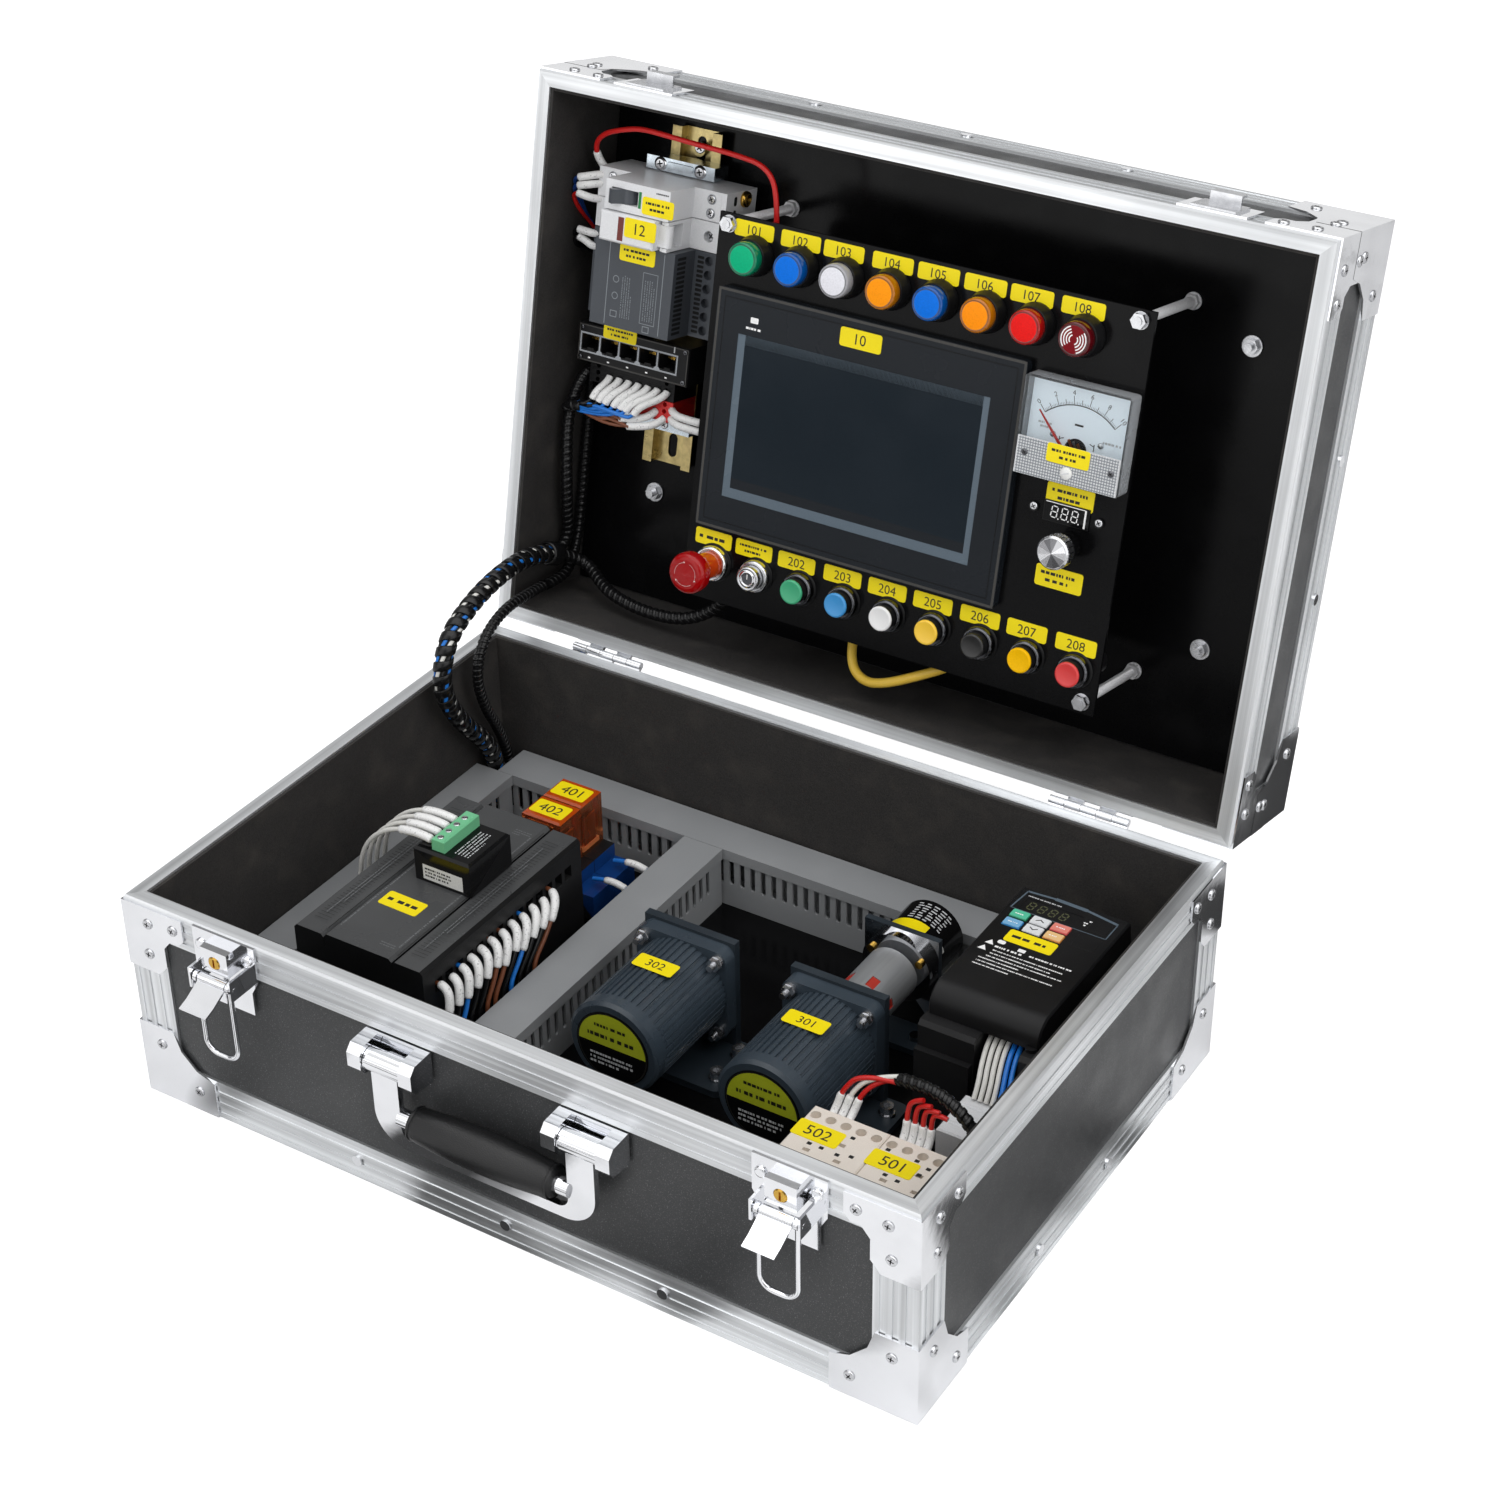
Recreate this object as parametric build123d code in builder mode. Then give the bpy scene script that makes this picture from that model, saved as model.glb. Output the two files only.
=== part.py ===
from build123d import *
from math import cos, radians, sin, tan
import os

os.makedirs("parts", exist_ok=True)

# A wiring trainer in an aluminium-edged case, in millimetres.
# The origin is under the middle of the base: X runs to the right, Y to the hinges, Z up.
# The lid is drawn in closed coordinates and stands open about the hinge axis.

# Case
case_width = 500.0
case_depth = 340.0
base_height = 136.0
lid_height = 79.0
lid_opening = 102.6
rim_gap = 0.4
wall_board = 6.4
floor_board = 6.0
lid_board = 4.0
lining = 3.0
edge_metal = 1.6
edge_leg = 26.0
rim_face = 22.0
rim_top = 9.0
edge_groove = 0.5
steel_sheet = 1.2
cap_size = 50.0
rivet_radius = 3.2
rivet_height = 1.1
hinge_offset = 4.1
hinge_spread = 165.0
hinge_length = 50.0
knuckle_radius = 2.4
hinge_pin = 1.2

# Front fittings
latch_spread = 178.0
latch_width = 43.0
latch_pin = 1.5
bail_wire = 1.5
bail_spacing = 22.5
bail_drop = 52.0
lever_reach = 21.0
lever_tilt = 30.0
latch_pivot = (-case_depth / 2 - 12.0, 112.0)
key_height = 123.0
key_radius = 4.0
handle_spread = 62.0
handle_bracket = 42.0
handle_drop = 50.0
handle_pivot = (-case_depth / 2 - 10.5, 103.0)
arm_width = 17.0
hub_width = 24.0
grip_radius = 11.5
grip_half = 46.0
pin_fit = 0.06
body_gap = 0.3

# Base contents
plate_gap = 8.0
plate_sheet = 2.0
plate_inset = 2.5
spacer_radius = 6.0
spacer_columns = (-215, -20, 140, 215)
spacer_rows = (-140, 145)
rail_width = 35.0
rail_height = 7.5
rail_sheet = 1.0
duct_width = 25.0
duct_height = 40.0
duct_wall = 1.5
duct_slot = 3.5
duct_slot_height = 18.0
duct_pitch = 7.5
middle_duct_x = -68.0
controller_size = (90.0, 150.0, 77.5)
controller_centre = (-142.0, -31.0)
relay_rows = (99.0, 77.0)
relay_size = (28.0, 21.0, 36.0)
socket_size = (72.0, 21.6, 26.5)
motor_x = (95.5, -1.0)
motor_axis_height = 44.0
motor_flange = 60.0
motor_flange_thickness = 9.0
motor_flange_y = 4.0
motor_length = 69.0
motor_radius = 29.4
motor_fins = 44
flange_hole = 24.5
bracket_sheet = 5.0
foot_sheet = 4.5
foot_places = ((-36, -17), (36, -17), (-36, 6), (36, 6))
shaft_radius = 4.0
coupling_radius = 16.0
star_radius = 15.5
coupling_front = 22.0
jaw_front = 38.0
jaw_length = 9.0
coupling_back = 74.0
encoder_radius = 20.0
encoder_front = 88.0
encoder_back = 122.0
inverter_x = (154.0, 222.0)
inverter_y = (-6.0, 124.0)
inverter_body_height = 84.0
inverter_cover_height = 16.0
inverter_roll = 13.0
inverter_window = ((162.0, 197.0), (95.5, 106.5))
key_columns = (166.0, 178.5, 191.0)
key_rows = (90.0, 81.5)
key_size = (10.5, 6.8)
contactor_width = 45.0
contactor_depth = 77.0
contactor_height = 66.5
contactor_left = 137.0
contactor_back = -79.0

# Lid contents
back_plate_sheet = 2.0
front_plate_x = (-118.0, 157.0)
front_plate_y = (-112.0, 120.0)
front_plate_depth = 3.0
front_plate_sheet = 2.0
fitting_pitch = 30.0
lamp_row = (-92.0, -91.0)
button_row = (-98.0, 96.0)
lamp_count = 8
button_count = 9
lamp_radius = 12.0
lamp_rim = 10.2
lamp_height = 8.5
lens_radius = 9.6
lens_height = 6.5
lamp_body = 9.0
collar_radius = 9.6
collar_height = 5.5
button_radius = 7.3
button_height = 11.3
button_travel = 4.0
stop_radius = 12.4
stop_stem = 8.2
stop_collar = 10.6
collar_wall = 0.8
screen_x = (-110.5, 89.5)
screen_y = (-71.0, 73.0)
screen_bezel = 6.0
screen_depth = 42.0
screen_box_x = (-103.0, 81.0)
screen_box_y = (-64.0, 66.0)
glass_x = (-94.5, 70.0)
glass_y = (-46.0, 52.0)
standoff_places = ((-111, -106), (148.5, -106), (149, 113), (-111, 113))
meter_x = (92.0, 156.0)
meter_y = (-66.5, -10.5)
meter_height = 12.0
meter_strip = -32.0
needle_pivot = (124.0, -22.0)
needle_length = 34.0
needle_angle = 42.0
display_centre = (123.0, 9.3)
knob_centre = (127.0, 26.0)
knob_shaft = 3.0
lid_rail_x = -177.0
lid_rail_y = (-141.0, 68.0)
device_width = 90.0
module_width = 18.0
window_width = 45.0
breaker_y = -115.0
device_front = 6.0
device_step = 32.0
device_gap = 0.2
supply_width = 51.8
switch_x = (-226.0, -146.0)
switch_y = (-19.0, 4.5)
switch_front = 30.0
socket_pitch = 14.0

# Wiring
harness_radius = 6.0
thin_harness_radius = 3.5
branch_radius = 4.0
wire_radius = 1.4
patch_radius = 2.9

# Places worked out from the sizes above
hinge_y = case_depth / 2 + hinge_offset
floor_z = floor_board
plate_top = floor_z + plate_gap + plate_sheet
rail_top = plate_top + rail_height
inner_x = case_width / 2 - edge_metal - wall_board - lining
inner_y = case_depth / 2 - edge_metal - wall_board - lining
lid_floor = lid_height - lid_board
device_back = lid_floor - back_plate_sheet - rail_height
grip_height = handle_pivot[1] - handle_drop + 7 + grip_radius + 1
spacer_places = [(x, y) for x in spacer_columns for y in spacer_rows]
motor_axis_z = plate_top + motor_axis_height
flange_back = motor_flange_y + motor_flange_thickness
inverter_top = plate_top + inverter_body_height + inverter_cover_height
lamp_places = [(lamp_row[0] + index * fitting_pitch, lamp_row[1]) for index in range(lamp_count)]
button_places = [
    (button_row[0] + index * fitting_pitch, button_row[1]) for index in range(button_count)
]
button_fits = [(collar_radius, button_radius + body_gap)] * button_count
button_fits[0] = (stop_collar, stop_stem + body_gap)
meter_centre = ((meter_x[0] + meter_x[1]) / 2, (meter_y[0] + meter_y[1]) / 2)
window_x = (lid_rail_x - window_width / 2, lid_rail_x + window_width / 2)
toggle_pivot = (lid_rail_x - 9.0, 12.0)
carrier_pivot = (lid_rail_x + 20.0, 11.0)
fuse_y = breaker_y + module_width + device_gap
supply_low = fuse_y + module_width + device_gap
supply_y = (supply_low, supply_low + supply_width)

opening = radians(lid_opening)
hinge = Vector(0, hinge_y, base_height)
lid_up = Vector(0, sin(opening), cos(opening))
lid_back = Vector(0, cos(opening), -sin(opening))
closed_lid = Plane(origin=hinge - lid_back * hinge_y, x_dir=(1, 0, 0), z_dir=lid_up)
base_frame = Plane.XY
lid_frame = Plane(
    origin=closed_lid.from_local_coords((0, 0, lid_height)), x_dir=(1, 0, 0), z_dir=-lid_up
)


def shift(plane, x, y, z):
    """The same plane moved by a step in its own directions."""
    return Plane(
        origin=plane.from_local_coords((x, y, z)), x_dir=plane.x_dir, z_dir=plane.z_dir
    )


def facing_front(plane, x, y, z):
    """A plane that looks out along the frame's -Y, its y axis along the frame's z."""
    return Plane(
        origin=plane.from_local_coords((x, y, z)), x_dir=plane.x_dir, z_dir=-plane.y_dir
    )


def facing_right(plane, x, y, z):
    """A plane that looks out along the frame's +X, its x axis along y, its y axis along z."""
    return Plane(
        origin=plane.from_local_coords((x, y, z)), x_dir=plane.y_dir, z_dir=plane.x_dir
    )


def slab(plane, x, y, height, mode=Mode.ADD, start=0.0):
    """A straight block on a plane, from its x range and its y range."""
    with BuildSketch(plane.offset(start)) as outline:
        with Locations(((x[0] + x[1]) / 2, (y[0] + y[1]) / 2)):
            Rectangle(abs(x[1] - x[0]), abs(y[1] - y[0]))
    extrude(outline.sketch, amount=height, mode=mode)


def prism(plane, points, height, mode=Mode.ADD, start=0.0):
    """A block of any straight-sided outline on a plane."""
    with BuildSketch(plane.offset(start)) as outline:
        Polygon(*points, align=None)
    extrude(outline.sketch, amount=height, mode=mode)


def disc(plane, centre, radius, height, mode=Mode.ADD, start=0.0, bore=0.0):
    """A round block on a plane, with a bore where one is given."""
    with BuildSketch(plane.offset(start)) as outline:
        with Locations(centre):
            Circle(radius)
            if bore:
                Circle(bore, mode=Mode.SUBTRACT)
    extrude(outline.sketch, amount=height, mode=mode)


def hexagon(plane, centre, flats, height, start=0.0, bore=0.0):
    """A nut on a plane, given across its flats."""
    with BuildSketch(plane.offset(start)) as outline:
        with Locations(centre):
            RegularPolygon(flats / 2, 6, major_radius=False)
            if bore:
                Circle(bore, mode=Mode.SUBTRACT)
    extrude(outline.sketch, amount=height)


nodes = {}


def keep(label, pieces):
    """One node: its pieces stay separate solids, written to one file."""
    solids = [solid for piece in pieces for solid in piece.solids()]
    node = solids[0] if len(solids) == 1 else Compound(solids)
    node.label = label
    nodes[label] = node
    export_step(node, f"parts/{label}.step")


def block(plane, x, y, height, start=0.0, edge=0.0):
    """A single block as a piece, with its outer long edges eased where asked."""
    with BuildPart() as piece:
        slab(plane, x, y, height, start=start)
        if edge:
            chamfer(piece.edges().group_by(Axis(plane.origin, plane.z_dir))[-1], edge)
    return piece.part


def cylinder(plane, centre, radius, height, start=0.0, bore=0.0):
    """A single round piece."""
    with BuildPart() as piece:
        disc(plane, centre, radius, height, start=start, bore=bore)
    return piece.part


# Case shells: the same functions make the base and the lid, from the outer floor to the rim

def wall_planes(frame):
    """The four walls in order front, right, back, left: x along, y inward, z to the rim."""
    half_w, half_d = case_width / 2, case_depth / 2
    places = ((0, -half_d), (half_w, 0), (0, half_d), (-half_w, 0))
    along = (frame.x_dir, frame.y_dir, -frame.x_dir, -frame.y_dir)
    return [
        Plane(origin=frame.from_local_coords((x, y, 0)), x_dir=run, z_dir=frame.z_dir)
        for (x, y), run in zip(places, along)
    ]


def wall_lengths():
    return (case_width, case_depth, case_width, case_depth)


def shell_boards(frame, height, board):
    """The floor board and four wall boards, which meet square."""
    pieces = []
    x = case_width / 2 - edge_metal
    y = case_depth / 2 - edge_metal
    with BuildPart() as floor:
        slab(frame, (-x, x), (-y, y), board - edge_metal, start=edge_metal)
        leg = edge_leg + body_gap
        slab(
            frame,
            (-case_width / 2 + leg, case_width / 2 - leg),
            (-case_depth / 2 + leg, case_depth / 2 - leg),
            edge_metal,
        )
    pieces.append(floor.part)
    for index, plane in enumerate(wall_planes(frame)):
        half = wall_lengths()[index] / 2 - edge_metal - (0 if index % 2 == 0 else wall_board)
        pieces.append(
            block(
                plane,
                (-half, half),
                (edge_metal, edge_metal + wall_board),
                height - edge_metal - board,
                start=board,
            )
        )
    return pieces


def shell_lining(frame, height, board, floor_holes):
    """Foam on the four walls, and on the floor where it has one."""
    pieces = []
    skin = edge_metal + wall_board
    for index, plane in enumerate(wall_planes(frame)):
        half = wall_lengths()[index] / 2 - skin - (0 if index % 2 == 0 else lining)
        pieces.append(
            block(
                plane,
                (-half, half),
                (skin, skin + lining),
                height - edge_metal - board,
                start=board,
            )
        )
    if floor_holes:
        with BuildPart() as mat:
            slab(frame, (-inner_x, inner_x), (-inner_y, inner_y), lining, start=board)
            for place in floor_holes:
                disc(frame, place, spacer_radius + body_gap, lining, Mode.SUBTRACT, board)
        pieces.append(mat.part)
    return pieces


def ribbed_leg(start, end, outward, grooves=3):
    """Points along one face of an edge section, with shallow grooves sunk from it."""
    run = end - start
    step = run / (2 * grooves + 1)
    points = [start]
    for index in range(grooves):
        near = start + step * (2 * index + 1)
        far = start + step * (2 * index + 2)
        points += [near, near - outward * edge_groove, far - outward * edge_groove, far]
    return points + [end]


def corner_section():
    """The ribbed angle that covers an edge, its outer corner at the origin."""
    origin = Vector(0, 0, 0)
    flat = ribbed_leg(Vector(edge_leg, 0, 0), origin, Vector(0, -1, 0))
    upright = ribbed_leg(origin, Vector(0, edge_leg, 0), Vector(-1, 0, 0))
    inside = [
        Vector(edge_metal, edge_leg, 0),
        Vector(edge_metal, edge_metal, 0),
        Vector(edge_leg, edge_metal, 0),
    ]
    return [(p.X, p.Y) for p in flat[:-1] + upright + inside]


def rim_section(height):
    """The rim's section: a ribbed outer face and a flat top that caps board and foam."""
    top = height
    low = Vector(0, top - rim_face, 0)
    high = Vector(0, top - edge_metal, 0)
    face = ribbed_leg(low, high, Vector(-1, 0, 0), grooves=2)
    points = [(p.X, p.Y) for p in face]
    points += [(edge_metal * 0.6, top), (rim_top, top), (rim_top, top - edge_metal)]
    return points + [(edge_metal, top - edge_metal), (edge_metal, top - rim_face)]


def shell_edges(frame, height):
    """Aluminium rails along the floor edges and corners, and the mitred rim."""
    pieces = []
    for index, plane in enumerate(wall_planes(frame)):
        length = wall_lengths()[index]
        run = length - 2 * edge_leg
        across = Plane(
            origin=plane.from_local_coords((-run / 2, 0, 0)), x_dir=plane.y_dir, z_dir=plane.x_dir
        )
        with BuildPart() as rail:
            prism(across, corner_section(), run)
        pieces.append(rail.part)
        across = Plane(
            origin=plane.from_local_coords((-length / 2, 0, 0)),
            x_dir=plane.y_dir,
            z_dir=plane.x_dir,
        )
        with BuildPart() as rim:
            prism(across, rim_section(height), length)
            mitre = [
                (-length / 2, 0),
                (length / 2, 0),
                (length / 2 - 2 * rim_top, 2 * rim_top),
                (-length / 2 + 2 * rim_top, 2 * rim_top),
            ]
            prism(plane, mitre, height, Mode.INTERSECT)
        pieces.append(rim.part)
    corners = ((-1, -1), (1, -1), (1, 1), (-1, 1))
    inward = (frame.x_dir, frame.y_dir, -frame.x_dir, -frame.y_dir)
    for (side_x, side_y), run in zip(corners, inward):
        place = (side_x * case_width / 2, side_y * case_depth / 2, edge_leg)
        corner = Plane(origin=frame.from_local_coords(place), x_dir=run, z_dir=frame.z_dir)
        with BuildPart() as post:
            prism(corner, corner_section(), height - rim_face - edge_leg)
        pieces.append(post.part)
    return pieces


def bracket_outline(direction, height):
    """The stepped rim bracket on one face, from the corner along the wall."""
    wide, narrow, step, low = 42.0, 27.0, 20.0, 46.0
    points = [
        (0, height - low),
        (narrow - 6, height - low),
        (narrow, height - low + 7),
        (narrow, height - step - 6),
        (narrow + 5, height - step),
        (wide - 4, height - step),
        (wide, height - step + 4),
        (wide, height - 2.5),
        (0, height - 2.5),
    ]
    return [(direction * x, y) for x, y in points]


bracket_rivets = ((35.0, -11.0), (17.0, -13.0), (15.0, -34.0))
cap_rivets = ((14.0, 38.0), (38.0, 14.0))


def cap_outline(direction):
    """The square foot cap on one face, with its two riveted lugs."""
    notch = cap_size - 12
    points = [
        (0, 0),
        (cap_size, 0),
        (cap_size, notch - 14),
        (notch, notch - 10),
        (notch - 10, notch),
        (notch - 14, cap_size),
        (0, cap_size),
    ]
    return [(direction * x, y) for x, y in points]


def corner_faces(frame, side_x, side_y):
    """The two outer faces at a corner, each with x away from the corner as +1 or -1."""
    corner = (side_x * case_width / 2, side_y * case_depth / 2, 0)
    front = Plane(
        origin=frame.from_local_coords(corner), x_dir=frame.x_dir * -side_y,
        z_dir=frame.y_dir * side_y,
    )
    side = Plane(
        origin=frame.from_local_coords(corner), x_dir=frame.y_dir * side_x,
        z_dir=frame.x_dir * side_x,
    )
    return ((front, side_x * side_y), (side, -side_x * side_y))


def rivet(plane, place):
    """A domed rivet head on a face."""
    with BuildPart() as head:
        disc(plane, place, rivet_radius, rivet_height, start=steel_sheet)
        fillet(head.edges().sort_by(Axis(plane.origin, plane.z_dir))[-1], rivet_height * 0.8)
    return head.part


def shell_corners(frame, height):
    """Steel brackets at the rim and caps at the floor corners, with their rivets."""
    pieces = []
    for side_x in (-1, 1):
        for side_y in (-1, 1):
            faces = corner_faces(frame, side_x, side_y)
            corner = shift(frame, side_x * case_width / 2, side_y * case_depth / 2, 0)
            edge_x = (0, side_x * steel_sheet)
            edge_y = (0, side_y * steel_sheet)
            with BuildPart() as bracket:
                for plane, way in faces:
                    prism(plane, bracket_outline(way, height), steel_sheet)
                slab(corner, edge_x, edge_y, 43.5, start=height - 46)
            with BuildPart() as cap:
                for plane, way in faces:
                    prism(plane, cap_outline(way), steel_sheet)
                slab(corner, edge_x, edge_y, cap_size)
                foot = edge_leg - body_gap
                slab(corner, (0, -side_x * foot), (0, -side_y * foot), steel_sheet)
            pieces += [bracket.part, cap.part]
            for plane, way in faces:
                pieces += [rivet(plane, (way * x, height + y)) for x, y in bracket_rivets]
                pieces += [rivet(plane, (way * x, y)) for x, y in cap_rivets]
    return pieces


def rail_rivets(frame, height):
    """Flat rivets part way along the floor rails."""
    pieces = []
    for index, plane in enumerate(wall_planes(frame)):
        outward = Plane(origin=plane.origin, x_dir=-plane.x_dir, z_dir=-plane.y_dir)
        count = 3 if index % 2 == 0 else 2
        spacing = (wall_lengths()[index] - 2 * cap_size) / (count + 1)
        for place in range(count):
            x = (place - (count - 1) / 2) * spacing
            rise = 1 if outward.y_dir.dot(frame.z_dir) > 0 else -1
            with BuildPart() as head:
                disc(outward, (x, rise * edge_leg * 0.5), rivet_radius, rivet_height)
            pieces.append(head.part)
    return pieces


# Hinges

def hinge_leaf(frame, side, rim, place, knuckles):
    """A leaf on the outside of the back wall, with its share of the knuckles."""
    pitch = hinge_length / 5
    gap = body_gap / 2
    back = Plane(
        origin=frame.from_local_coords((place, side * case_depth / 2, 0)),
        x_dir=frame.x_dir * -side,
        z_dir=frame.y_dir * side,
    )
    half = hinge_length / 2
    centre = (hinge_offset, rim_gap / 2)
    reach = [
        (0, -6),
        (steel_sheet, -6),
        (hinge_offset + 1, -knuckle_radius * 0.6),
        (hinge_offset, 0),
        (hinge_offset - knuckle_radius + 0.4, -1.2),
        (0, -3.6),
    ]
    with BuildPart() as leaf:
        slab(back, (-half, half), (rim - 24, rim - 3.5), steel_sheet)
        for index in knuckles:
            x = -side * half + side * (index * pitch + gap)
            across = Plane(
                origin=frame.from_local_coords((place + x, side * case_depth / 2, rim)),
                x_dir=frame.y_dir * side,
                z_dir=frame.x_dir * side,
            )
            prism(across, reach, pitch - body_gap)
            disc(across, centre, knuckle_radius, pitch - body_gap)
            disc(across, centre, hinge_pin + pin_fit, pitch - body_gap, Mode.SUBTRACT)
    return leaf.part


def hinge_pin_rod(place):
    """The pin through all five knuckles of one hinge."""
    along = facing_right(base_frame, place - hinge_length / 2, hinge_y, base_height)
    return cylinder(along, (0, 0), hinge_pin, hinge_length)


# Latches: a plate with two ears, a lever and a wire bail on one cross pin, and a key cylinder

def latch_plate(x):
    """The stepped plate with its ears and the box round the key cylinder."""
    face = facing_front(base_frame, x, -case_depth / 2, 0)
    wide, narrow = latch_width / 2, latch_width / 2 - 4.5
    outline = [
        (-wide, 135.0),
        (wide, 135.0),
        (wide, 112.0),
        (narrow, 104.0),
        (narrow, 89.0),
        (-narrow, 89.0),
        (-narrow, 104.0),
        (-wide, 112.0),
    ]
    ear = bail_spacing / 2 + bail_wire + body_gap + 0.1
    reach = 15.5
    box = bail_spacing / 2 - bail_wire - 2 * body_gap
    with BuildPart() as plate:
        prism(face, outline, 1.5)
        for side in (-1, 1):
            slab(face, (side * ear, side * (ear + 1.5)), (105.5, 118.5), reach - 1.5, start=1.5)
        slab(face, (-box, box), (116.0, 131.0), 8.3, start=1.5)
        disc(face, (0, key_height), key_radius + pin_fit, 8.3, Mode.SUBTRACT, start=1.5)
        pin = facing_right(base_frame, x - wide, *latch_pivot)
        disc(pin, (0, 0), latch_pin + 0.02, latch_width, Mode.SUBTRACT)
    return plate.part


def latch_cross_pin(x):
    """The pin through the ears, the lever and the bail."""
    half = bail_spacing / 2 + bail_wire + 2.0
    return cylinder(facing_right(base_frame, x - half, *latch_pivot), (0, 0), latch_pin, 2 * half)


def latch_screws(x):
    """Two round-head screws near the top corners of the plate."""
    face = facing_front(base_frame, x, -case_depth / 2, 0)
    pieces = []
    for side in (-1, 1):
        with BuildPart() as screw:
            disc(face, (side * (latch_width / 2 - 5.5), 125.0), 3.4, 1.6, start=1.5)
            fillet(screw.edges().sort_by(Axis(face.origin, face.z_dir))[-1], 1.1)
        pieces.append(screw.part)
    return pieces


def key_cylinder(x):
    """The brass cylinder with its key slot."""
    face = facing_front(base_frame, x, -case_depth / 2, 0)
    with BuildPart() as key:
        disc(face, (0, key_height), key_radius, 8.6, start=1.8)
        chamfer(key.edges().sort_by(Axis(face.origin, face.z_dir))[-1], 0.6)
        slab(face, (-0.6, 0.6), (key_height - 2.6, key_height + 2.6), 2, Mode.SUBTRACT, 9.0)
    return key.part


def latch_lever(x):
    """The lever, a hub on the pin with a blade that stands out and down."""
    half = bail_spacing / 2 - bail_wire - 1.5 * body_gap
    across = facing_right(base_frame, x - half, *latch_pivot)
    tilt = radians(lever_tilt)
    out = Vector(-cos(tilt), -sin(tilt))
    up = Vector(-out.Y, out.X) * -0.7
    tip = out * lever_reach
    knee = out * (lever_reach - 7)
    blade = [up, knee + up, tip + up * 2.6, tip + up * 0.8, knee - up, -up]
    with BuildPart() as lever:
        disc(across, (0, 0), 3.0, 2 * half)
        prism(across, [(p.X, p.Y) for p in blade], 2 * half)
        disc(across, (0, 0), latch_pin + pin_fit, 2 * half, Mode.SUBTRACT)
    return lever.part


def wire_path(points, corner):
    """A bent wire: straight runs with the same bend at each corner."""
    with BuildLine() as line:
        FilletPolyline(*points, radius=corner)
    return line.wire()


def round_sweep(path, radius):
    """A round bar along a path."""
    start = Plane(origin=path @ 0, z_dir=path % 0)
    with BuildPart() as bar:
        with BuildSketch(start) as section:
            Circle(radius)
        sweep(section.sketch, path=path)
    return bar.part


def latch_bail(x):
    """The wire bail: two eyes on the pin and a loop that hangs from them."""
    y, top = latch_pivot
    half = bail_spacing / 2
    low = top - bail_drop + bail_wire
    points = [(x - half, y, top - 2), (x - half, y, low), (x + half, y, low), (x + half, y, top - 2)]
    loop = round_sweep(wire_path(points, 8.5), bail_wire)
    with BuildPart() as bail:
        add(loop)
        for side in (-1, 1):
            eye = bail_wire - 0.3
            across = facing_right(base_frame, x + side * half - eye, y, top)
            disc(across, (0, 0), 3.2, 2 * eye)
            disc(across, (0, 0), latch_pin + pin_fit, 2 * eye, Mode.SUBTRACT)
    return bail.part


def latch_keeper(x):
    """The hook plate on the lid's front wall that the bail goes over."""
    face = Plane(
        origin=closed_lid.from_local_coords((x, -case_depth / 2, 0)),
        x_dir=closed_lid.x_dir,
        z_dir=-closed_lid.y_dir,
    )
    side = Plane(
        origin=closed_lid.from_local_coords((x - 9, -case_depth / 2, 0)),
        x_dir=closed_lid.y_dir,
        z_dir=closed_lid.x_dir,
    )
    hook = [(0, 20), (-8, 20), (-8, 27), (-6.6, 27), (-6.6, 21.5), (0, 21.5)]
    with BuildPart() as keeper:
        slab(face, (-20, 20), (2.5, 27), steel_sheet)
        slab(face, (-13, 13), (4, 24), 1.2, start=steel_sheet)
        prism(side, hook, 18)
    return keeper.part


# Carry handle

def handle_bracket_piece(x):
    """Two cheeks on a back plate that hold the end of one arm."""
    y, z = handle_pivot
    half = handle_bracket / 2
    inner = hub_width / 2 + body_gap
    cheek = [(0, -10), (-15, -8), (-18, -4), (-18, 5), (-14, 9.5), (0, 10)]
    with BuildPart() as bracket:
        slab(
            facing_front(base_frame, x, -case_depth / 2, z), (-half, half), (-10, 10), 2.5
        )
        for start in (-half, inner):
            across = facing_right(base_frame, x + start, -case_depth / 2, z)
            prism(across, cheek, half - inner)
        across = facing_right(base_frame, x - half, y, z)
        disc(across, (0, 0), 2.02, handle_bracket, Mode.SUBTRACT)
    return bracket.part


def handle_pin(x):
    """The pin through one bracket and one hub."""
    across = facing_right(base_frame, x - handle_bracket / 2, *handle_pivot)
    return cylinder(across, (0, 0), 2.0, handle_bracket)


def handle_arms():
    """The U-shaped strip with a hub at each end and a stub into each end of the grip."""
    y, z = handle_pivot
    outer = handle_spread + arm_width / 2
    inner = handle_spread - arm_width / 2
    low = z - handle_drop
    face = facing_front(base_frame, 0, y, 0)
    with BuildPart() as arms:
        with BuildSketch(face) as outline:
            with BuildLine():
                FilletPolyline(
                    (-outer, z), (-outer, low), (outer, low), (outer, z), radius=20
                )
                FilletPolyline(
                    (outer, z), (inner, z), (inner, low + 7), (-inner, low + 7), (-inner, z),
                    (-outer, z), radius=(0.01, 7, 7, 0.01),
                )
            make_face()
        extrude(outline.sketch, amount=4)
        for side in (-1, 1):
            across = facing_right(base_frame, side * handle_spread - hub_width / 2, y, z)
            disc(across, (0, 0), 6.5, hub_width)
            disc(across, (0, 0), 2.0 + pin_fit, hub_width, Mode.SUBTRACT)
            stub = facing_right(
                base_frame, side * (grip_half + 4) - 4.5, y - 2, grip_height
            )
            disc(stub, (0, 0), 5.0, 9)
    return arms.part


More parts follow.
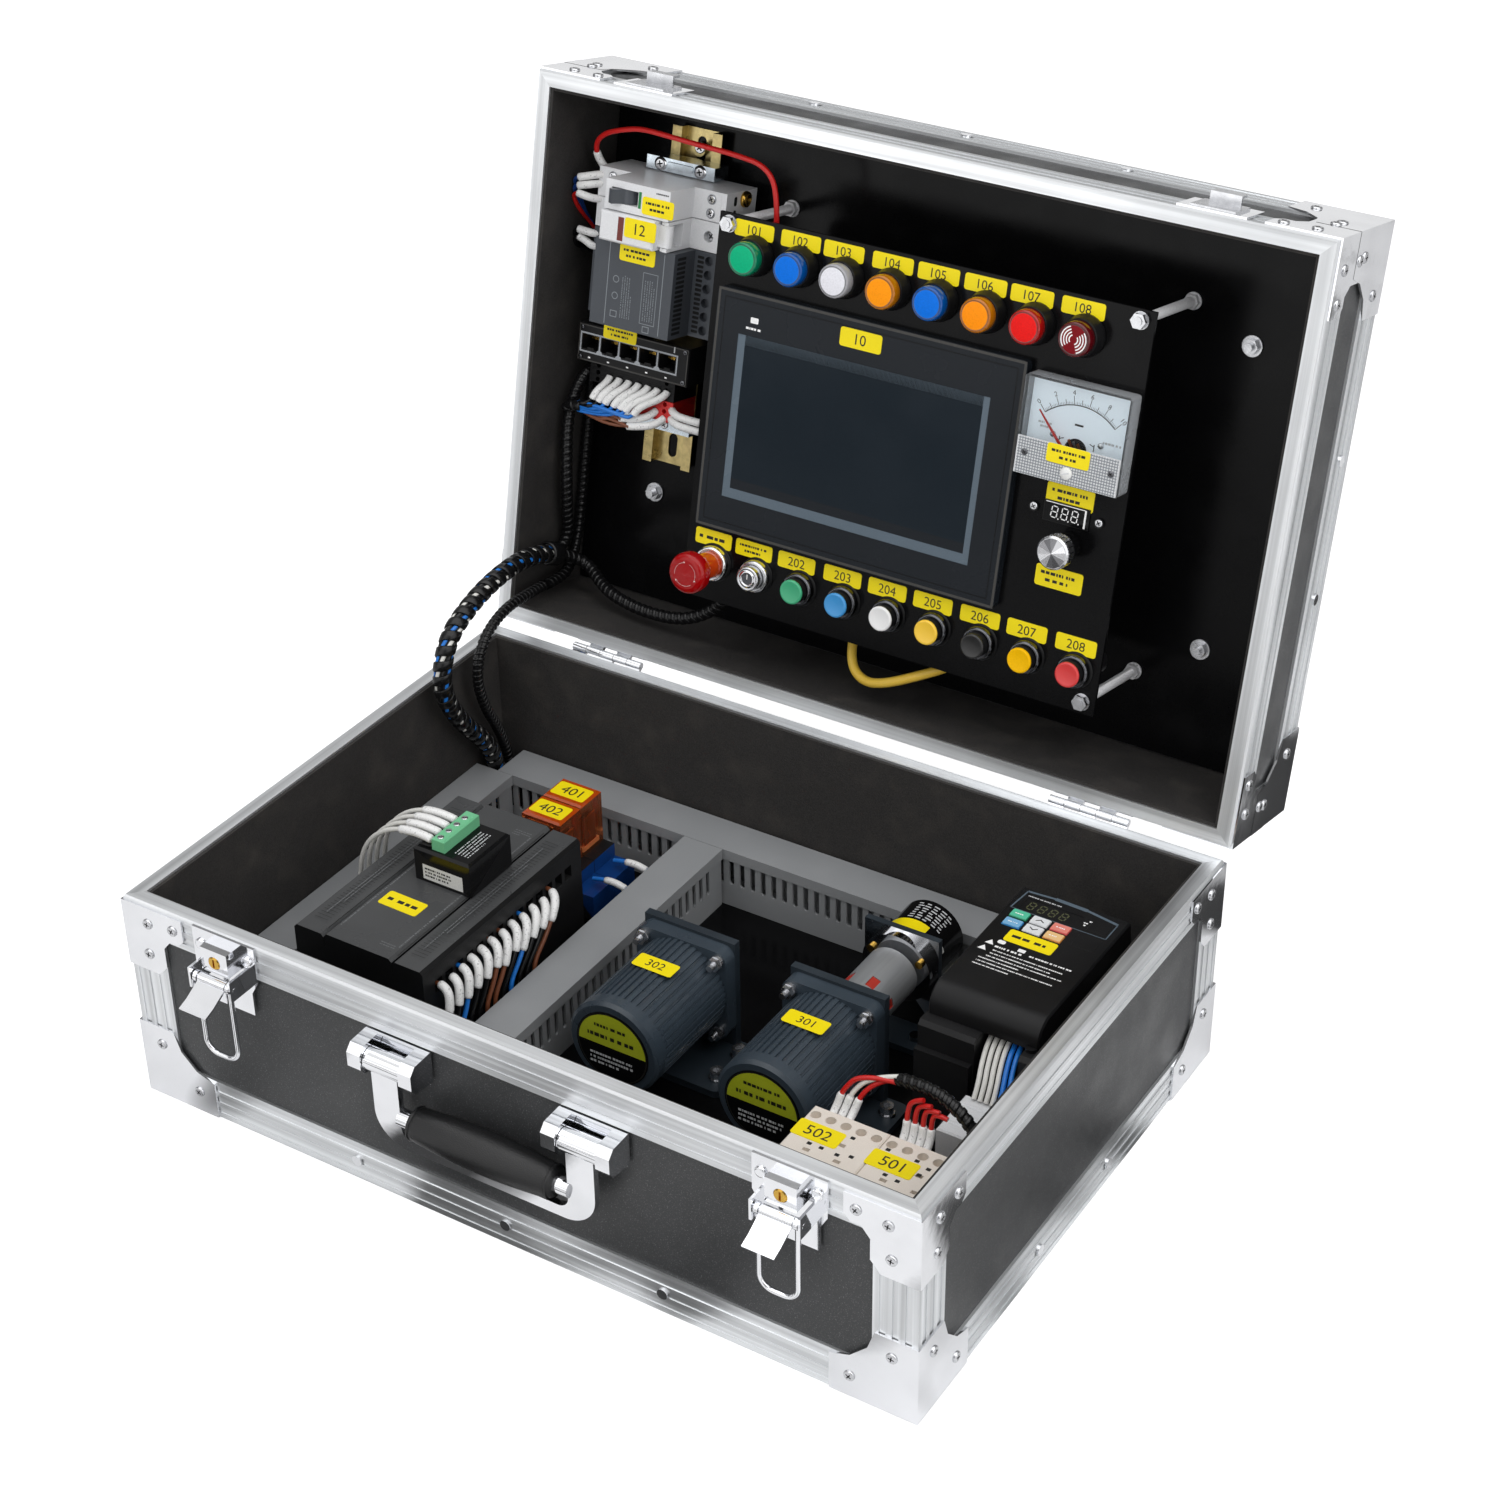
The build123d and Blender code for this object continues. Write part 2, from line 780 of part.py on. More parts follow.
def handle_grip():
    """The crowned grip, a turned shape fatter in the middle."""
    y = handle_pivot[0] - 2
    with BuildPart() as grip:
        with BuildSketch(Plane(origin=(0, y, grip_height), x_dir=(1, 0, 0), z_dir=(0, -1, 0))):
            with BuildLine():
                reach = grip_half - 0.5
                Polyline((-reach, 0), (-reach, grip_radius - 2.5))
                ThreePointArc(
                    (-reach, grip_radius - 2.5), (0, grip_radius), (reach, grip_radius - 2.5)
                )
                Polyline((reach, grip_radius - 2.5), (reach, 0), (-reach, 0))
            make_face()
        revolve(axis=Axis((0, y, grip_height), (1, 0, 0)))
    return grip.part


# Base contents

def mounting_plate():
    """The sheet that carries the base contents, drilled for its own screws."""
    x, y = inner_x - plate_inset, inner_y - plate_inset
    return block(base_frame, (-x, x), (-y, y), plate_sheet, start=plate_top - plate_sheet)


def top_hat(plane, length):
    """A slotted mounting rail: x along it, z away from what it is fixed to."""
    half, foot, sheet = rail_width / 2, 5.5, rail_sheet
    section = [
        (-half, rail_height),
        (-half, rail_height - sheet),
        (-half + foot, rail_height - sheet),
        (-half + foot, 0),
        (half - foot, 0),
        (half - foot, rail_height - sheet),
        (half, rail_height - sheet),
        (half, rail_height),
        (half - foot - sheet, rail_height),
        (half - foot - sheet, sheet),
        (-half + foot + sheet, sheet),
        (-half + foot + sheet, rail_height),
    ]
    across = Plane(
        origin=plane.from_local_coords((-length / 2, 0, 0)), x_dir=plane.y_dir, z_dir=plane.x_dir
    )
    with BuildPart() as rail:
        prism(across, section, length)
        for end in (-1, 1):
            with BuildSketch(plane) as slot:
                with Locations((end * (length / 2 - 12), 0)):
                    SlotOverall(15, 6.2)
            extrude(slot.sketch, amount=2, mode=Mode.SUBTRACT)
    return rail.part


def duct(plane, length, holes=(0, 0)):
    """A slotted trough: x along it, open to z. holes shortens the slotted rows at each end."""
    half = duct_width / 2
    first = -length / 2 + 8 + holes[0]
    count = int((length - 16 - sum(holes)) // duct_pitch) + 1
    with BuildPart() as trough:
        slab(plane, (-length / 2, length / 2), (-half, half), duct_height)
        slab(
            plane,
            (-length / 2, length / 2),
            (-half + duct_wall, half - duct_wall),
            duct_height,
            Mode.SUBTRACT,
            start=duct_wall,
        )
        side = Plane(
            origin=plane.from_local_coords((0, half, 0)), x_dir=plane.x_dir, z_dir=-plane.y_dir
        )
        with BuildSketch(side) as slots:
            rise = -1 if side.y_dir.dot(plane.z_dir) < 0 else 1
            centre = rise * (duct_height - 6 - duct_slot_height / 2)
            for index in range(count):
                with Locations((first + index * duct_pitch, centre)):
                    SlotOverall(duct_slot_height, duct_slot, rotation=90)
        extrude(slots.sketch, amount=duct_width, mode=Mode.SUBTRACT)
    return trough.part


def duct_cover(plane, length):
    """The snap-on cover with a lip down each side."""
    half = duct_width / 2 + 0.05
    with BuildPart() as cover:
        slab(plane, (-length / 2, length / 2), (-half - 1.2, half + 1.2), 7.2, start=duct_height - 6)
        slab(
            plane, (-length / 2, length / 2), (-half, half), 6, Mode.SUBTRACT,
            start=duct_height - 6,
        )
    return cover.part


def lying(x, y, turn):
    """A plane on the mounting plate, turned about Z."""
    return Plane(origin=(x, y, plate_top), z_dir=(0, 0, 1)).rotated((0, 0, turn))


def controller_pieces():
    """The controller: a body on its rail, three top covers and a small adapter on them."""
    width, length, height = controller_size
    cx, cy = controller_centre
    x = (cx - width / 2, cx + width / 2)
    y = (cy - length / 2, cy + length / 2)
    cover = 9.0
    top = Plane.XY.offset(rail_top + height - cover)
    with BuildPart() as body:
        slab(Plane.XY, x, y, height - cover, start=rail_top)
        for index in range(14):
            place = y[0] + 10 + index * 9.5
            slab(
                Plane.XY, (x[1] - 5, x[1]), (place, place + 6.5), 8, Mode.SUBTRACT,
                start=rail_top + height - cover - 12,
            )
    pieces = [body.part]
    bands = ((x[0], x[0] + 21, 8.0), (x[0] + 21.3, x[1] - 21.3, cover), (x[1] - 21, x[1], 8.0))
    for left, right, rise in bands:
        with BuildPart() as lid_piece:
            slab(top, (left, right), y, rise)
            long_edges = lid_piece.edges().filter_by(Axis.Y).group_by(Axis.Z)[-1]
            chamfer(long_edges, 2.0)
        pieces.append(lid_piece.part)
    roof = rail_top + height
    adapter_x, adapter_y = (cx - 12, cx + 27), (cy - 6, cy + 33)
    with BuildPart() as adapter:
        slab(Plane.XY, adapter_x, adapter_y, 22, start=roof)
        chamfer(adapter.edges().group_by(Axis.Z)[-1], 1.5)
    pieces.append(adapter.part)
    terminal = block(
        Plane.XY,
        (adapter_x[0] + 11, adapter_x[0] + 20),
        (adapter_y[0] + 3, adapter_y[1] - 3),
        8,
        start=roof + 22,
        edge=1.0,
    )
    pieces.append(terminal)
    return pieces


def relay_pieces():
    """Two plug-in relays in their sockets."""
    cx = controller_centre[0]
    pieces = []
    for y in relay_rows:
        w, d, h = socket_size
        with BuildPart() as socket:
            slab(Plane.XY, (cx - w / 2, cx + w / 2), (y - d / 2, y + d / 2), h, start=rail_top)
            slab(
                Plane.XY, (cx - w / 2, cx - w / 2 + 14), (y - d / 2, y + d / 2), 9,
                Mode.SUBTRACT, start=rail_top + h - 9,
            )
            slab(
                Plane.XY, (cx + w / 2 - 14, cx + w / 2), (y - d / 2, y + d / 2), 9,
                Mode.SUBTRACT, start=rail_top + h - 9,
            )
        w, d, high = relay_size
        relay = block(
            Plane.XY, (cx - w / 2, cx + w / 2), (y - d / 2, y + d / 2), high,
            start=rail_top + h, edge=1.2,
        )
        pieces += [socket.part, relay]
    return pieces


# Motors: the axis of each runs along Y

def motor_plane(x, y):
    """A plane across a motor's axis that looks back along +Y."""
    return Plane(origin=(x, y, motor_axis_z), x_dir=(-1, 0, 0), z_dir=(0, 1, 0))


def fin_outline():
    """A round outline with shallow straight grooves between fins."""
    points = []
    turn = 360 / motor_fins
    for index in range(motor_fins):
        for share, radius in ((0, 0), (0.55, 0), (0.6, 1.1), (0.95, 1.1)):
            angle = radians((index + share) * turn)
            reach = motor_radius - radius
            points.append((reach * cos(angle), reach * sin(angle)))
    return points


def motor_pieces(x):
    """A finned housing with its square flange, and the plate on its front end."""
    front = motor_flange_y - motor_length
    half = motor_flange / 2
    with BuildPart() as housing:
        prism(motor_plane(x, front + 8), fin_outline(), motor_length - 8)
        disc(motor_plane(x, front), (0, 0), motor_radius, 9)
        chamfer(housing.edges().sort_by(Axis.Y)[0], 2.0)
        with BuildSketch(motor_plane(x, motor_flange_y)) as flange:
            RectangleRounded(2 * half, 2 * half, 7)
            with GridLocations(2 * flange_hole, 2 * flange_hole, 2, 2):
                Circle(2.3, mode=Mode.SUBTRACT)
        extrude(flange.sketch, amount=motor_flange_thickness)
        disc(motor_plane(x, flange_back), (0, 0), 11, 2)
        disc(
            motor_plane(x, motor_flange_y - 24), (0, 0), shaft_radius + pin_fit, 40, Mode.SUBTRACT
        )
    plate = cylinder(motor_plane(x, front - 0.6), (0, 0), motor_radius - 6, 0.6)
    return [housing.part, plate]


def motor_bracket(x):
    """The cast foot: an upright plate behind the flange on a slotted base."""
    back = flange_back + bracket_sheet
    upright = motor_plane(x, flange_back)
    with BuildPart() as bracket:
        slab(upright, (-30, 30), (-motor_axis_height, 32), bracket_sheet)
        disc(upright, (0, 0), 11.5, bracket_sheet, Mode.SUBTRACT)
        for side_x in (-1, 1):
            for side_z in (-1, 1):
                hole = (side_x * flange_hole, side_z * flange_hole)
                disc(upright, hole, 2.3, bracket_sheet, Mode.SUBTRACT)
        with BuildSketch(lying(x, 0, 0)) as base:
            with Locations((0, (back - 28) / 2)):
                RectangleRounded(88, back + 28, 5)
            with Locations(*foot_places):
                SlotOverall(11, 5.4, mode=Mode.SUBTRACT)
        extrude(base.sketch, amount=foot_sheet)
    return bracket.part


def flange_fasteners(x):
    """A stud, washer and nut at each corner of the flange."""
    pieces = []
    for side_x in (-1, 1):
        for side_z in (-1, 1):
            place = (side_x * flange_hole, side_z * flange_hole)
            front = motor_plane(x, motor_flange_y - 9)
            with BuildPart() as stud:
                disc(front, place, 2.0, 9 + motor_flange_thickness + bracket_sheet + 1)
                hexagon(front, place, 7, 3.2, start=3.4)
                disc(front, place, 4.2, 2.4, start=6.6)
                head_start = 9 + motor_flange_thickness + bracket_sheet
                hexagon(front, place, 7, 2.8, start=head_start)
            pieces.append(stud.part)
    return pieces


def foot_fasteners(x):
    """A socket-head screw with a washer in each slot of the foot."""
    pieces = []
    for place in foot_places:
        top = lying(x, 0, 0)
        with BuildPart() as screw:
            disc(top, place, 2.4, foot_sheet)
            disc(top, place, 4.6, 1.2, start=foot_sheet)
            disc(top, place, 3.9, 4.8, start=foot_sheet + 1.2)
            hexagon_hole = top.offset(foot_sheet + 3.5)
            with BuildSketch(hexagon_hole) as socket:
                with Locations(place):
                    RegularPolygon(2, 6, major_radius=False)
            extrude(socket.sketch, amount=2.5, mode=Mode.SUBTRACT)
        pieces.append(screw.part)
    return pieces


def sector(plane, start_angle, sweep, height, radius, hub):
    """A pie-shaped block between a hub radius and an outer radius."""
    far = radius * 2
    ends = [radians(start_angle), radians(start_angle + sweep / 2), radians(start_angle + sweep)]
    with BuildSketch(plane) as wedge:
        Circle(radius)
        Circle(hub, mode=Mode.SUBTRACT)
        points = [(0, 0)] + [(far * cos(a), far * sin(a)) for a in ends]
        Polygon(*points, align=None, mode=Mode.INTERSECT)
    extrude(wedge.sketch, amount=height)


def coupling_pieces(x):
    """Two hubs whose jaws interlock round an elastic star."""
    hub = 7.0
    front = motor_plane(x, coupling_front)
    jaws = motor_plane(x, jaw_front)
    with BuildPart() as near:
        disc(front, (0, 0), coupling_radius, jaw_front - coupling_front, bore=shaft_radius)
        for index in range(3):
            sector(jaws, index * 120, 40, jaw_length, coupling_radius, hub)
        chamfer(near.edges().sort_by(Axis.Y)[0:1], 0.2)
    with BuildPart() as star:
        disc(jaws, (0, 0), hub, jaw_length, bore=shaft_radius)
        for index in range(6):
            sector(jaws, 40 + index * 60, 20, jaw_length, star_radius, hub - 0.5)
    with BuildPart() as far:
        start = jaw_front + jaw_length - coupling_front
        depth = coupling_back - jaw_front - jaw_length
        disc(front, (0, 0), coupling_radius, depth, start=start, bore=shaft_radius)
        for index in range(3):
            sector(jaws, 60 + index * 120, 40, jaw_length, coupling_radius, hub)
    return [near.part, star.part, far.part]


def motor_shaft(x, end):
    """A shaft from inside the housing to a place along Y."""
    start = motor_flange_y - 23.5
    return cylinder(motor_plane(x, start), (0, 0), shaft_radius, end - start)


def encoder_pieces(x):
    """The encoder body, its mounting ring with three screws and the angle that carries it."""
    ring = motor_plane(x, encoder_front - 10)
    sheet = 4.0
    upright = motor_plane(x, encoder_front - sheet)
    low = -motor_axis_height
    with BuildPart() as body:
        disc(motor_plane(x, encoder_front), (0, 0), encoder_radius, encoder_back - encoder_front)
        chamfer(body.edges().sort_by(Axis.Y)[-1], 1.5)
        disc(motor_plane(x, encoder_front), (0, 0), shaft_radius + pin_fit, 10, Mode.SUBTRACT)
    mount_ring = cylinder(ring, (0, 0), encoder_radius + 2, 6, bore=10)
    with BuildPart() as angle:
        slab(upright, (-24, 24), (low, 23), sheet)
        disc(upright, (0, 0), 10, sheet, Mode.SUBTRACT)
        slab(upright, (-24, 24), (low, low + 4), 22, start=-22)
    pieces = [body.part, mount_ring, angle.part]
    for turn in (30, 150, 270):
        place = (18 * cos(radians(turn)), 18 * sin(radians(turn)))
        pieces.append(cylinder(ring, place, 2.4, 2, start=-2))
    for side in (-1, 1):
        screw = Plane(origin=(x, encoder_front - 16, plate_top + 4), z_dir=(0, 0, 1))
        pieces.append(cylinder(screw, (side * 17, 0), 3.6, 3))
    return pieces


# Inverter

def inverter_pieces():
    """The body, the raised cover with pockets for its keys and a display window."""
    x, y = inverter_x, inverter_y
    body_top = plate_top + inverter_body_height
    with BuildPart() as body:
        slab(Plane.XY, x, (y[0] + 4, y[1]), inverter_body_height, start=plate_top)
        chamfer(body.edges().filter_by(Axis.X).group_by(Axis.Z)[-1], 2.5)
        slab(
            Plane.XY, (x[0] + 34, x[1] - 8), (y[0], y[0] + 24), inverter_body_height,
            Mode.SUBTRACT, start=plate_top + 30,
        )
        for index in range(5):
            z = plate_top + 26 + index * 9
            slab(Plane.XY, (x[0], x[0] + 1.5), (y[0] + 30, y[1] - 20), 4, Mode.SUBTRACT, start=z)
    front = block(Plane.XY, (x[0], x[0] + 33), (y[0], y[0] + 4), 60, start=plate_top + 8)
    near, back = y[0] + 13, y[1] - 7
    low = inverter_top - inverter_roll
    with BuildPart() as cover:
        with BuildSketch(facing_right(base_frame, x[0] + 1, 0, 0)) as outline:
            with BuildLine():
                Polyline((near, low), (near, body_top), (back, body_top), (back - 2, inverter_top))
                Polyline((back - 2, inverter_top), (near + inverter_roll, inverter_top))
                RadiusArc((near + inverter_roll, inverter_top), (near, low), -inverter_roll)
            make_face()
        extrude(outline.sketch, amount=x[1] - x[0] - 2)
        chamfer(cover.edges().filter_by(Axis.Y).group_by(Axis.Z)[-1], 1.0)
        for kx in key_columns:
            for ky in key_rows:
                pocket = (key_size[0] / 2 + body_gap, key_size[1] / 2 + body_gap)
                slab(
                    Plane.XY,
                    (kx - pocket[0], kx + pocket[0]),
                    (ky - pocket[1], ky + pocket[1]),
                    5,
                    Mode.SUBTRACT,
                    start=inverter_top - 3.6,
                )
        slab(Plane.XY, *inverter_window, 3, Mode.SUBTRACT, start=inverter_top - 1.2)
    window = block(Plane.XY, *inverter_window, 1.0, start=inverter_top - 1.2)
    screw = cylinder(Plane.XY, (217.0, 7.0), 3.2, 2.0, start=body_top)
    return [body.part, front, cover.part, window, screw]


def keypad_key(x, y):
    """One rectangular key in its pocket."""
    half = (key_size[0] / 2, key_size[1] / 2)
    return block(
        Plane.XY, (x - half[0], x + half[0]), (y - half[1], y + half[1]), 3.6,
        start=inverter_top - 2.7, edge=0.5,
    )


# Switchgear

def contactor(left):
    """One contactor on its rail, with two rows of screw wells."""
    right = left + contactor_width - body_gap
    front = contactor_back - contactor_depth
    top = rail_top + contactor_height
    with BuildPart() as body:
        slab(Plane.XY, (left, right), (front, contactor_back), contactor_height, start=rail_top)
        chamfer(body.edges().group_by(Axis.Z)[-1], 0.8)
        for row in (front + 7, contactor_back - 7):
            for index in range(5):
                place = (left + 4.4 + index * 9, row)
                disc(Plane.XY, place, 2.9, 6, Mode.SUBTRACT, start=top - 5)
        for dx, dy in ((8, 22), (26, 22), (12, 34), (30, 34), (20, 46), (38, 46), (8, 56)):
            x, y = left + dx, contactor_back - dy
            slab(Plane.XY, (x, x + 4), (y, y + 2.4), 4, Mode.SUBTRACT, start=top - 3)
    return body.part


def terminal_stack():
    """Three rail terminals beside the inverter's lower end."""
    pieces = [top_hat(lying(210, -30, 90), 46)]
    for index in range(4):
        y = -46 + index * 8.2
        pieces.append(
            block(Plane.XY, (190, 230), (y, y + 8), 50, start=rail_top, edge=1.0)
        )
    return pieces


# Cords: straight runs joined by arcs as large as the runs allow

cord_lengths = []


def cord_path(label, points):
    """A cord's path, each arc 0.45 of its shorter run over the tangent of half the turn."""
    route = [Vector(*p) for p in points]
    radii = []
    for before, here, after in zip(route, route[1:], route[2:]):
        turn = (here - before).get_angle(after - here)
        shorter = min((here - before).length, (after - here).length)
        radii.append(0.45 * shorter / tan(radians(turn) / 2))
    with BuildLine() as line:
        FilletPolyline(*route, radius=radii)
    path = line.wire()
    print(f"{label}: length {path.length:.0f}, radii", *(f"{r:.0f}" for r in radii))
    cord_lengths.append((label, path.length))
    return path


def cord(label, points, radius):
    """A round cord along its route."""
    piece = round_sweep(cord_path(label, points), radius)
    share = piece.volume / (3.141593 * radius**2 * cord_lengths[-1][1])
    print(f"{label}: volume over section times length {share:.4f}")
    return piece


def in_lid(points):
    """Closed-lid points (x, y, depth) as places in the open lid."""
    return [tuple(closed_lid.from_local_coords(p)) for p in points]


# Lid contents: x and y as when the lid is closed, z the depth into the lid

def back_plate_pieces():
    """The sheet on the lid's inside, its bolts, the mounting rail and the rail's end clamps."""
    x, y = inner_x - 1, inner_y - 1
    front = lid_floor - back_plate_sheet
    plate = block(closed_lid, (-x, x), (-y, y), back_plate_sheet, start=front)
    pieces = [plate]
    for place in ((187, -89), (-187, 89), (187, 89)):
        with BuildPart() as bolt:
            disc(closed_lid, place, 6.0, 1.2, start=front - 1.2)
            hexagon(closed_lid, place, 8, 3.4, start=front - 4.6)
            disc(closed_lid, place, 2.4, 3.0, start=front - 7.6)
        pieces.append(bolt.part)
    middle = (lid_rail_y[0] + lid_rail_y[1]) / 2
    rail = Plane(
        origin=closed_lid.from_local_coords((lid_rail_x, middle, front)),
        x_dir=closed_lid.y_dir,
        z_dir=-closed_lid.z_dir,
    )
    pieces.append(top_hat(rail, lid_rail_y[1] - lid_rail_y[0]))
    for y in (breaker_y - 9, 33):
        clamp = block(
            closed_lid, (lid_rail_x - 24, lid_rail_x + 24), (y, y + 8), 15.5,
            start=device_back - 15.5,
        )
        pieces.append(clamp)
    screw = (lid_rail_x, lid_rail_y[0] + 12)
    pieces.append(cylinder(closed_lid, screw, 4.4, 3, start=front - 1 - 3))
    return pieces


def front_plate():
    """The black plate, cut for each fitting."""
    cut = dict(height=front_plate_sheet, mode=Mode.SUBTRACT, start=front_plate_depth)
    gap = body_gap
    with BuildPart() as plate:
        slab(closed_lid, front_plate_x, front_plate_y, front_plate_sheet, start=front_plate_depth)
        for place in lamp_places:
            disc(closed_lid, place, lamp_body + gap, **cut)
        for place, (radius, bore) in zip(button_places, button_fits):
            disc(closed_lid, place, bore + collar_wall + gap, **cut)
        for place in standoff_places:
            disc(closed_lid, place, 2.6, **cut)
        slab(
            closed_lid,
            (screen_box_x[0] - gap, screen_box_x[1] + gap),
            (screen_box_y[0] - gap, screen_box_y[1] + gap),
            **cut,
        )
        disc(closed_lid, meter_centre, 20.0 + gap, **cut)
        disc(closed_lid, knob_centre, 4.8, **cut)
        x, y = display_centre
        slab(closed_lid, (x - 14.3, x + 14.3), (y - 6.3, y + 6.3), **cut)
        for side in (-1, 1):
            disc(closed_lid, (x + side * 20, y), 1.6, **cut)
    return plate.part


def standoff(place):
    """A threaded rod with nuts against both sides of the front plate and at the back plate."""
    back = lid_floor - back_plate_sheet
    with BuildPart() as rod:
        disc(closed_lid, place, 2.5, back + 2, start=-2)
        hexagon(closed_lid, place, 8, 3.6, start=front_plate_depth - 4.4)
        disc(closed_lid, place, 5.0, 0.8, start=front_plate_depth - 0.8)
        rear = front_plate_depth + front_plate_sheet
        disc(closed_lid, place, 5.0, 0.8, start=rear)
        hexagon(closed_lid, place, 8, 3.6, start=rear + 0.8)
        hexagon(closed_lid, place, 8, 3.6, start=back - 4.4)
        disc(closed_lid, place, 5.0, 0.8, start=back - 0.8)
    return rod.part


def turned(place, profile, mode=Mode.ADD):
    """A turned shape on the lid plate's normal, from radius and depth pairs."""
    side = Plane(
        origin=closed_lid.from_local_coords((place[0], place[1], 0)),
        x_dir=closed_lid.x_dir,
        z_dir=-closed_lid.y_dir,
    )
    with BuildSketch(side) as half:
        Polygon(*profile, align=None)
    revolve(half.sketch, axis=Axis(side.origin, closed_lid.z_dir), mode=mode)


def lamp_pieces(place):
    """A lamp: its tapered bezel with the body behind the plate, and its lens."""
    plate = front_plate_depth
    rear = plate + front_plate_sheet
    top = plate - lamp_height
    bezel = [
        (0, plate),
        (lamp_radius, plate),
        (lamp_radius, plate - 2.0),
        (lamp_rim + 0.4, top + 0.6),
        (lamp_rim, top),
        (0, top),
    ]
    with BuildPart() as body:
        turned(place, bezel)
        disc(closed_lid, place, lamp_body, 42.0, start=plate)
        disc(closed_lid, place, lamp_body + 3.0, 3.5, start=rear)
    with BuildPart() as lens:
        disc(closed_lid, place, lens_radius, lens_height, start=top - lens_height)
        front_edge = lens.edges().sort_by(Axis(closed_lid.origin, closed_lid.z_dir))[0]
        fillet(front_edge, 1.2)
    return [body.part, lens.part]


def collar(place, radius, bore):
    """A push-button's collar, the tube behind it and its closed contact block."""
    rear = front_plate_depth + front_plate_sheet
    top = front_plate_depth - collar_height
    tube = bore + collar_wall
    with BuildPart() as ring:
        disc(closed_lid, place, radius, collar_height, start=top)
        disc(closed_lid, place, tube, 25.0, start=front_plate_depth)
        disc(closed_lid, place, tube + 2.5, 3.5, start=rear)
        depth = collar_height + 18.0 + button_travel
        disc(closed_lid, place, bore, depth, Mode.SUBTRACT, start=top)
        front_edge = ring.edges().group_by(Axis(closed_lid.origin, closed_lid.z_dir))[0]
        chamfer(front_edge.sort_by(SortBy.LENGTH)[-1], 0.8)
    return ring.part


def push_button(place):
    """A flat cap on its stem."""
    top = front_plate_depth - button_height
    with BuildPart() as button:
        disc(closed_lid, place, button_radius, button_height + 14.0, start=top)
        front_edge = button.edges().sort_by(Axis(closed_lid.origin, closed_lid.z_dir))[0]
        fillet(front_edge, 0.8)
    return button.part


def stop_button(place):
    """The mushroom cap, waisted above its stem."""
    with BuildPart() as button:
        turned(
            place,
            [
                (0, -30.0),
                (stop_radius - 3.6, -29.7),
                (stop_radius - 1.2, -28.6),
                (stop_radius, -26.4),
                (stop_radius - 0.3, -21.5),
                (stop_radius - 1.5, -19.5),
                (stop_stem + 0.8, -16.5),
                (stop_stem, -14.0),
                (stop_stem, 19.0),
                (0, 19.0),
            ],
        )
    return button.part


def screen_pieces():
    """The touch screen: bezel and housing, its glass, and a plug socket block."""
    bezel_top = front_plate_depth - screen_bezel
    with BuildPart() as body:
        slab(closed_lid, screen_x, screen_y, screen_bezel, start=bezel_top)
        side_edges = body.edges().filter_by(Axis(closed_lid.origin, closed_lid.z_dir))
        fillet(side_edges, 3.0)
        slab(closed_lid, screen_box_x, screen_box_y, screen_depth, start=front_plate_depth)
        slab(closed_lid, glass_x, glass_y, 1.2, Mode.SUBTRACT, start=bezel_top)
    gap = 0.1
    glass = block(
        closed_lid,
        (glass_x[0] + gap, glass_x[1] - gap),
        (glass_y[0] + gap, glass_y[1] - gap),
        0.9,
        start=bezel_top + 0.3,
    )
    return [body.part, glass]


def meter_pieces():
    """The pointer meter: clear cover, dial block with its pivot, and the lower strip."""
    top = front_plate_depth - meter_height
    skin = 1.6
    with BuildPart() as cover:
        slab(closed_lid, meter_x, meter_y, meter_height, start=top)
        side_edges = cover.edges().filter_by(Axis(closed_lid.origin, closed_lid.z_dir))
        fillet(side_edges, 2.0)
        slab(
            closed_lid,
            (meter_x[0] + skin, meter_x[1] - skin),
            (meter_y[0] + skin, meter_y[1] - skin),
            meter_height - skin,
            Mode.SUBTRACT,
            start=top + skin,
        )
    inset = skin + body_gap
    with BuildPart() as dial:
        slab(
            closed_lid,
            (meter_x[0] + inset, meter_x[1] - inset),
            (meter_y[0] + inset, meter_y[1] - inset),
            3.6,
            start=front_plate_depth - 3.6,
        )
        disc(closed_lid, meter_centre, 20.0, 30.0, start=front_plate_depth)
        disc(closed_lid, needle_pivot, 0.8, 6.0, start=front_plate_depth - 9.6)
    strip = block(
        closed_lid,
        (meter_x[0] + 1, meter_x[1] - 1),
        (meter_strip, meter_y[1] - 0.6),
        1.2,
        start=top - 1.2,
    )
    return [cover.part, dial.part, strip]


def meter_needle():
    """The pointer on its pivot, resting at the left end of the scale."""
    x, y = needle_pivot
    swing = radians(needle_angle)
    turned = Plane(
        origin=closed_lid.from_local_coords((x, y, front_plate_depth - 8.2)),
        x_dir=closed_lid.x_dir * -sin(swing) - closed_lid.y_dir * cos(swing),
        z_dir=closed_lid.z_dir,
    )
    with BuildPart() as needle:
        disc(turned, (0, 0), 2.6, 1.6)
        prism(turned, [(0, -1.0), (needle_length, -0.25), (needle_length, 0.25), (0, 1.0)], 1.0)
        prism(turned, [(0, -1.0), (-6, -0.8), (-6, 0.8), (0, 1.0)], 1.0)
        disc(turned, (0, 0), 0.8 + pin_fit, 1.6, Mode.SUBTRACT)
    return needle.part


def display_pieces():
    """The small digital display with a screw at each end."""
    x, y = display_centre
    rear = front_plate_depth + front_plate_sheet
    with BuildPart() as module:
        slab(closed_lid, (x - 14, x + 14), (y - 6, y + 6), 6.0, start=front_plate_depth - 1.0)
        slab(closed_lid, (x - 24, x + 24), (y - 7.5, y + 7.5), 4.0, start=rear)
    pieces = [module.part]
    for side in (-1, 1):
        with BuildPart() as screw:
            disc(closed_lid, (x + side * 20, y), 2.8, 1.6, start=front_plate_depth - 1.6)
            disc(closed_lid, (x + side * 20, y), 1.5, 2.0, start=front_plate_depth)
        pieces.append(screw.part)
    return pieces


